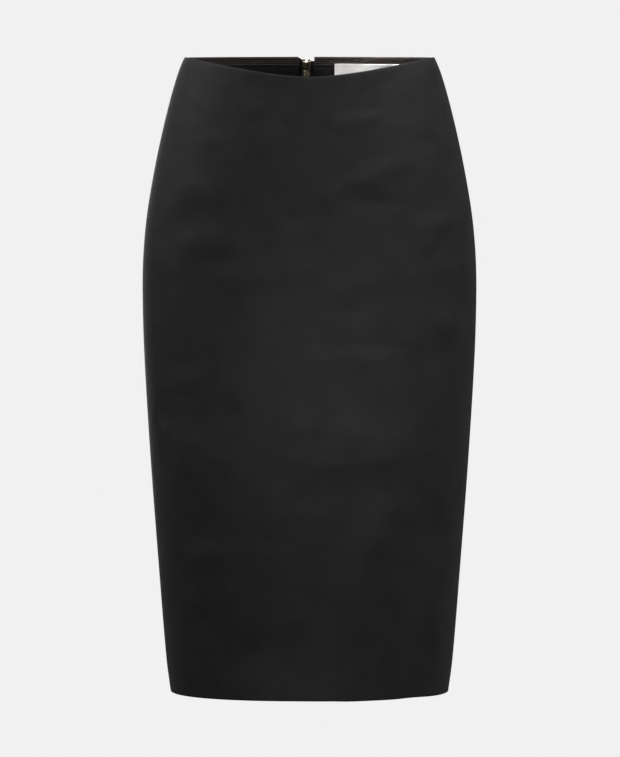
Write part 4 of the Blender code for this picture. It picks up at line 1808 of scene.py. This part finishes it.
@dataclass
class ZipChain:
    """The teeth, the two top stops and the bottom stop."""

    form: SkirtForm
    finishes: Finishes
    pitch: float = 0.00205
    tooth_height: float = 0.00112
    head_overlap: float = 0.0007        # how far a head reaches past the zip's middle
    head_root: float = 0.0003           # and how far it runs into its legs
    head_thickness: float = 0.0019
    head_edge: float = 0.00030
    leg_start: float = 0.0013           # from the zip's middle
    leg_reach: float = 0.0009           # past the chain's side
    leg_thickness: float = 0.0026
    leg_edge: float = 0.00036
    stop_length: float = 0.0036
    stop_edge: float = 0.0005
    top_stop_level: float = -0.0036
    top_stop_length: float = 0.0030
    top_stop_inner: float = 0.0013
    top_stop_outer: float = 0.0037
    top_stop_thickness: float = 0.0024

    def tooth(self) -> BMesh:
        """Make one tooth of the left row: X out to its tape, Z up.

        Returns:
            Its bmesh.
        """
        form = bmesh.new()
        half = 0.5 * self.tooth_height
        reach = 0.5 * self.form.sizes.chain_width
        add_block(form, (-self.head_overlap, -0.5 * self.head_thickness, -half),
                  (self.leg_start + self.head_root, 0.5 * self.head_thickness, half),
                  self.head_edge)
        add_block(form, (self.leg_start, -0.5 * self.leg_thickness, -half),
                  (reach + self.leg_reach, 0.5 * self.leg_thickness, half), self.leg_edge)
        return form

    def make(self) -> None:
        """Make the teeth in two rows, and the stops."""
        sizes = self.form.sizes
        count = round((sizes.chain_top - sizes.chain_foot) / self.pitch)
        # The rows start a quarter and three quarters of a pitch down, so their teeth alternate.
        for name, sign, shift in (("left", 1.0, 0.25), ("right", -1.0, 0.75)):
            levels = [sizes.chain_top - (number + shift) * self.pitch for number in range(count)]
            mirror = Matrix.Diagonal((sign, 1.0, 1.0, 1.0))
            mesh = repeated(self.tooth(), [self.form.zip_place(level) @ mirror
                                           for level in levels])
            if sign < 0.0:
                mesh.flip_normals()
            piece = add_piece(f"zip_teeth_{name}", mesh, self.finishes.metal,
                              crisp=Crisp.TOOTH)
            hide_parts("zip_chain")
        self.make_bottom_stop()
        self.make_top_stops()
        LOG.info("zip chain made with %d teeth a side", count)

    def make_bottom_stop(self) -> None:
        """Make the stop across both tapes, in place of its solid."""
        sizes = self.form.sizes
        corner = Vector((0.5 * sizes.chain_width, 0.5 * sizes.chain_thickness,
                         0.5 * self.stop_length))
        form = bmesh.new()
        add_block(form, -corner, corner, self.stop_edge, segments=3)
        level = sizes.chain_foot - sizes.gap - 0.5 * self.stop_length
        piece = add_piece("zip_stop_bottom_clamp", repeated(form, [self.form.zip_place(level)]),
                          self.finishes.metal, crisp=Crisp.PLATE)
        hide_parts("zip_stop_bottom")

    def make_top_stops(self) -> None:
        """Make a clip at the top of each tape."""
        form = bmesh.new()
        thick, tall = 0.5 * self.top_stop_thickness, 0.5 * self.top_stop_length
        for sign in (-1.0, 1.0):
            near, far = sorted((sign * self.top_stop_inner, sign * self.top_stop_outer))
            add_block(form, (near, -thick, -tall), (far, thick, tall), self.stop_edge,
                      segments=3)
        add_piece("zip_stops_top", repeated(form, [self.form.zip_place(self.top_stop_level)]),
                  self.finishes.metal, crisp=Crisp.PLATE)


@dataclass
class ZipSlider:
    """The slider: two plates round the chain, flanges, the post between, and the bridge."""

    form: SkirtForm
    finishes: Finishes
    level: float = -0.0084
    length: float = 0.0090
    plate: float = 0.0010
    plate_edge: float = 0.00032
    plate_bend: float = 0.6             # edges that bend more than this, in radians, are rounded
    taper: float = 0.0007               # how much narrower each side is at the foot
    notch: float = 0.0009               # depth of the dip in the middle of the top edge
    flange: float = 0.0011
    flange_inset: float = 0.00005
    flange_foot: float = 0.25           # shares of the length, from the middle
    flange_top: float = 0.42
    flange_edge: float = 0.00025
    post_half_width: float = 0.0011
    post_top: float = 0.0012            # below the slider's top
    post_foot: float = 0.0024
    post_root: float = 0.0004           # how far it runs into the plates
    post_edge: float = 0.0003
    bridge_width: float = 0.0016
    bridge_radius_in: float = 0.0020
    bridge_radius_out: float = 0.0030
    bridge_offset: float = 0.0004
    bridge_steps: int = 16
    pull_thickness: float = 0.0012

    def cavity(self) -> float:
        """Return how far each plate's inner face lies from the middle of the tapes."""
        return 0.5 * self.form.sizes.chain_thickness + self.form.sizes.gap

    def hinge_height(self) -> float:
        """Return how far the pull's hinge lies out from the middle of the tapes."""
        return self.cavity() + self.plate + 0.5 * self.pull_thickness + self.form.sizes.gap

    def add_shell(self, form: BMesh, side: float) -> None:
        """Add one plate with its two flanges.

        Args:
            form: The bmesh that takes it.
            side: 1 for the plate outside the zip, -1 for the inner.
        """
        sizes = self.form.sizes
        reach = 0.5 * sizes.chain_width + sizes.gap + self.flange
        made = bmesh.ops.create_grid(form, x_segments=4, y_segments=2, size=1.0)["verts"]
        faces = list({face for vertex in made for face in vertex.link_faces})
        for vertex in made:
            across, up = vertex.co.x, vertex.co.y
            width = reach - 0.5 * self.taper * (1.0 - up)
            top_middle = up > 0.5 and abs(across) < 0.25
            dip = self.notch if top_middle else 0.0
            vertex.co = (width * across, side * self.cavity(), 0.5 * self.length * up - dip)
        outer = drawn_out(form, faces, (0.0, side * self.plate, 0.0), keep=True)
        corners = {*made, *corners_of(outer)}
        bent = [edge for edge in form.edges if corners.issuperset(edge.verts)
                and len(edge.link_faces) == 2 and edge.calc_face_angle(0.0) > self.plate_bend]
        round_edges(form, bent, self.plate_edge, segments=3)
        slot = 0.5 * sizes.zip_tape + sizes.gap
        for sign in (-1.0, 1.0):
            left, right = sorted((sign * (reach - self.flange),
                                  sign * (reach - self.flange_inset)))
            near, far = sorted((side * slot, side * (self.cavity() + 0.5 * self.plate)))
            add_block(form, (left, near, -self.flange_foot * self.length),
                      (right, far, self.flange_top * self.length), self.flange_edge)

    def add_bridge(self, form: BMesh) -> None:
        """Add the arch that holds the pull: a bar that rises, turns over and comes down.

        Args:
            form: The bmesh that takes it.
        """
        centre = Vector((0.0, self.hinge_height(), self.bridge_offset))
        foot = self.cavity() + 0.5 * self.plate
        low = self.bridge_offset - self.bridge_radius_out
        wall = self.bridge_radius_out - self.bridge_radius_in
        made = bmesh.ops.create_grid(form, x_segments=1, y_segments=1, size=0.5)["verts"]
        for vertex in made:
            vertex.co = (vertex.co.x * self.bridge_width, foot,
                         low + (vertex.co.y + 0.5) * wall)
        end = list({face for vertex in made for face in vertex.link_faces})
        end = drawn_out(form, end, (0.0, centre.y - foot, 0.0))
        edges = {edge for face in end for edge in face.edges}
        spun = bmesh.ops.spin(form, geom=[*end, *edges, *corners_of(end)], cent=centre,
                              axis=(1.0, 0.0, 0.0), angle=math.pi, steps=self.bridge_steps,
                              use_merge=False)["geom_last"]
        end = [part for part in spun if isinstance(part, BMFace)]
        drawn_out(form, end, (0.0, foot - centre.y, 0.0))

    def make(self) -> None:
        """Make the slider in place of its solid."""
        form = bmesh.new()
        self.add_shell(form, 1.0)
        self.add_shell(form, -1.0)
        top = 0.5 * self.length
        deep = self.cavity() + self.post_root
        add_block(form, (-self.post_half_width, -deep, top - self.post_foot),
                  (self.post_half_width, deep, top - self.post_top), self.post_edge)
        self.add_bridge(form)
        bmesh.ops.recalc_face_normals(form, faces=form.faces)
        piece = add_piece("zip_slider_body", repeated(form, [self.form.zip_place(self.level)]),
                          self.finishes.metal, crisp=Crisp.PLATE)
        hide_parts("zip_slider")


@dataclass
class ZipPull:
    """The pull tab: a long plate with a round foot and an eye for the bridge."""

    form: SkirtForm
    finishes: Finishes
    slider: ZipSlider
    length: float = 0.0260
    width_top: float = 0.0052
    width_foot: float = 0.0066
    eye_width: float = 0.0026
    eye_length: float = 0.0028
    eye_bulge: float = 0.0004
    tilt: float = 1.5                   # degrees off the zip at rest
    edge: float = 0.00028
    edge_bend: float = 1.0              # edges that bend more than this, in radians, are rounded
    drops: tuple[float, ...] = (0.0015, 0.0034, 0.0058, 0.0090, 0.0130, 0.0175)
    round_steps: int = 16

    def half_width(self, drop: float) -> float:
        """Return half the tab's width at a distance below the hinge."""
        share = float(ease(drop / self.length))
        return 0.5 * (self.width_top + (self.width_foot - self.width_top) * share)

    def loops(self) -> tuple[list[Place], list[Place]]:
        """Draw the tab's outline and its eye.

        Returns:
            The places of both, as many each.
        """
        half_bar = 0.5 * self.slider.pull_thickness
        half_eye = 0.5 * self.eye_width
        outline = [(0.5 * self.width_top, half_bar)]
        eye = [(half_eye, -half_bar)]
        for drop in self.drops:
            outline.append((self.half_width(drop), -drop))
            eye.append((half_eye, -half_bar - self.eye_length * drop / self.drops[-1]))
        straight = self.length - 0.5 * self.width_foot
        width = self.half_width(straight)
        foot_outline, foot_eye = [], []
        for step in range(self.round_steps + 1):
            turn = math.pi * step / self.round_steps
            foot_outline.append((-width * math.cos(turn), -straight - width * math.sin(turn)))
            foot_eye.append((-half_eye * math.cos(turn),
                             -half_bar - self.eye_length - self.eye_bulge * math.sin(turn)))
        return (mirrored(outline) + foot_outline + outline[::-1],
                mirrored(eye) + foot_eye + eye[::-1])

    def make(self) -> None:
        """Make the tab in place of its solid, on the pull's own body."""
        form = bmesh.new()
        thick = self.slider.pull_thickness
        loops = []
        for outline in self.loops():
            corners = [form.verts.new((across, -0.5 * thick, up)) for across, up in outline]
            loops += [form.edges.new((corners[number - 1], corners[number]))
                      for number in range(len(corners))]
        faces = bmesh.ops.bridge_loops(form, edges=loops)["faces"]
        drawn_out(form, faces, (0.0, thick, 0.0), keep=True)
        face_outwards(form)
        form.normal_update()
        rims = [edge for edge in form.edges if edge.calc_face_angle(0.0) > self.edge_bend
                and abs(edge.verts[0].co.y - edge.verts[1].co.y) < 0.5 * thick]
        round_edges(form, rims, self.edge, segments=3)
        hinge = self.form.zip_place(self.slider.level, self.slider.hinge_height())
        hinge = hinge @ Matrix.Translation((0.0, 0.0, self.slider.bridge_offset))
        tilted = hinge @ Matrix.Rotation(-math.radians(self.tilt), 4, "X")
        piece = add_piece("zip_pull_tab", repeated(form, [tilted]), self.finishes.metal,
                          body="pull", crisp=Crisp.PLATE)
        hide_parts("zip_pull")


def mirrored(line: Sequence[Place]) -> list[Place]:
    """Return a line's places on the other side of the middle."""
    return [(-across, up) for across, up in line]


# ---------------- studio


class SoftBox(NamedTuple):
    """One soft light."""

    name: str
    place: tuple[float, float, float]
    aim: tuple[float, float, float]
    size: tuple[float, float]
    power: float
    spread: float = 180.0       # degrees that its light fans out over


@dataclass
class Studio:
    """The pale floor and backdrop, the soft lights and the camera."""

    floor: float = -1.30
    radius: float = 9.0
    bend: float = 2.0                   # radius of the bend between the floor and the wall
    dome: float = 4.5                   # height of the domed ceiling
    ceiling: float = 8.0
    bend_steps: int = 10
    round_steps: int = 48
    weld: float = 0.0005                # how near two corners are that become one
    paper: Colour = (0.880, 0.880, 0.880)
    camera_place: tuple[float, float, float] = (0.0005, -4.2, -0.182)
    camera_aim: tuple[float, float, float] = (0.0005, 0.0, -0.3203)
    lens: float = 200.0
    ambient: float = 0.19
    lights: tuple[SoftBox, ...] = (
        SoftBox("front", (0.06, -0.95, -0.15), (0.0, -0.05, -0.26), (0.26, 0.26), 0.79),
        SoftBox("middle", (0.04, -0.95, -0.20), (0.02, -0.05, -0.32), (0.12, 0.12), 0.072, 35.0),
        SoftBox("right", (0.66, -0.74, -0.10), (0.0, -0.05, -0.26), (0.26, 0.26), 1.43),
        SoftBox("high_left", (-1.30, -0.40, 1.90), (0.0, -0.05, -0.26), (0.6, 0.6), 24.0),
        SoftBox("high_right", (1.30, -0.40, 1.90), (0.0, -0.05, -0.26), (0.6, 0.6), 42.0),
        SoftBox("rim_left", (-1.00, -0.30, 0.45), (0.0, 0.0, -0.15), (0.4, 0.4), 3.6),
        SoftBox("rim_right", (0.95, 0.05, -0.70), (0.0, 0.0, -0.50), (0.4, 0.4), 0.30),
        SoftBox("low", (-0.02, -0.70, -1.00), (-0.01, -0.105, -0.655), (0.06, 0.06), 0.016, 20.0),
        SoftBox("inside", (0.084, -0.045, 0.42), (0.084, 0.10, -0.02), (0.05, 0.05), 0.215, 17.0),
        SoftBox("back_front", (-0.08, 1.00, -0.15), (0.0, 0.05, -0.26), (0.8, 0.8), 3.0),
        SoftBox("back_right", (-0.34, 1.00, -0.10), (0.0, 0.05, -0.26), (0.8, 0.8), 1.8),
        SoftBox("back_high_left", (1.30, 0.60, 1.90), (0.0, 0.05, -0.26), (0.6, 0.6), 16.0),
        SoftBox("back_high_right", (-1.30, 0.60, 1.90), (0.0, 0.05, -0.26), (0.6, 0.6), 16.0),
    )

    def make(self) -> None:
        """Make the whole studio."""
        self.make_cove()
        self.make_world()
        for light in self.lights:
            self.make_light(light)
        self.make_camera()
        LOG.info("studio made with %d soft lights", len(self.lights))

    def cove_profile(self) -> list[tuple[float, float]]:
        """Draw the cove's profile, from the floor to the top of the ceiling.

        Returns:
            Its places, each a distance out and a height.
        """
        foot = self.radius - self.bend
        wall = self.ceiling - self.dome
        turns = [0.5 * math.pi * step / self.bend_steps for step in range(self.bend_steps + 1)]
        bend = [(foot + self.bend * math.sin(turn),
                 self.floor + self.bend * (1.0 - math.cos(turn))) for turn in turns]
        dome = [(self.radius * math.cos(turn), wall + self.dome * math.sin(turn))
                for turn in turns]
        return [(0.0, self.floor), *bend, *dome]

    def make_cove(self) -> None:
        """Make one round sheet of paper: a floor that bends up into a wall and a ceiling."""
        form = bmesh.new()
        corners = [form.verts.new((reach, 0.0, height))
                   for reach, height in self.cove_profile()]
        for lower, upper in zip(corners, corners[1:]):
            form.edges.new((lower, upper))
        bmesh.ops.spin(form, geom=[*form.verts, *form.edges], cent=(0.0, 0.0, 0.0),
                       axis=(0.0, 0.0, 1.0), angle=2.0 * math.pi, steps=self.round_steps,
                       use_merge=True)
        bmesh.ops.remove_doubles(form, verts=form.verts, dist=self.weld)
        mesh = mesh_of(form)
        mesh.shade_smooth()
        board = Board("studio_paper")
        glow = board.node("ShaderNodeEmission", values={"Color": (*self.paper, 1.0)})
        board.node("ShaderNodeOutputMaterial", values={0: glow.outputs[0]})
        mesh.materials.append(board.material)
        cove = bpy.data.objects.new("studio_cove", mesh)
        cove.visible_diffuse = False
        cove.visible_glossy = False
        cove.visible_shadow = False
        bpy.context.scene.collection.objects.link(cove)

    def make_world(self) -> None:
        """Make a faint even light from all round."""
        scene = bpy.context.scene
        world = bpy.data.worlds.new("studio_air")
        world.use_nodes = True
        air = world.node_tree.nodes["Background"]
        air.inputs["Color"].default_value = (1.0, 1.0, 1.0, 1.0)
        air.inputs["Strength"].default_value = self.ambient
        scene.world = world
        scene.view_settings.view_transform = "Standard"

    def make_light(self, light: SoftBox) -> None:
        """Make one soft box that faces its aim.

        Args:
            light: The soft box.
        """
        lamp = bpy.data.lights.new(light.name, "AREA")
        lamp.shape = "RECTANGLE"
        lamp.size, lamp.size_y = light.size
        lamp.energy = light.power
        lamp.spread = math.radians(light.spread)
        box = bpy.data.objects.new(light.name, lamp)
        box.matrix_world = facing(light.place, light.aim)
        box.visible_camera = False
        bpy.context.scene.collection.objects.link(box)

    def make_camera(self) -> None:
        """Make the camera, level with the skirt's upper third and a little tilted down."""
        data = bpy.data.cameras.new("camera")
        data.lens = self.lens
        camera = bpy.data.objects.new("camera", data)
        camera.matrix_world = facing(self.camera_place, self.camera_aim)
        bpy.context.scene.collection.objects.link(camera)
        bpy.context.scene.camera = camera


def facing(place: Sequence[float], aim: Sequence[float]) -> Matrix:
    """Return the frame of a light or a camera that stands at a place and looks at its aim."""
    turn = (Vector(aim) - Vector(place)).to_track_quat("-Z", "Y")
    return Matrix.Translation(place) @ turn.to_matrix().to_4x4()


# ---------------- the whole scene


def main() -> None:
    """Build the skirt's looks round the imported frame."""
    logging.basicConfig(level=logging.INFO, format="%(name)s: %(message)s")
    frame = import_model()
    LOG.info("frame has %d nodes", len(frame["nodes"]))
    Studio().make()
    finishes = Finishes.make()
    form = SkirtForm()
    tailor = Tailor(form)
    panels = Panels(tailor, finishes)
    panels.make()
    WaistFinish(tailor, finishes, panels).make()
    ZipCloth(tailor, finishes).make()
    ZipChain(form, finishes).make()
    slider = ZipSlider(form, finishes)
    slider.make()
    ZipPull(form, finishes, slider).make()


if __name__ == "__main__":
    main()
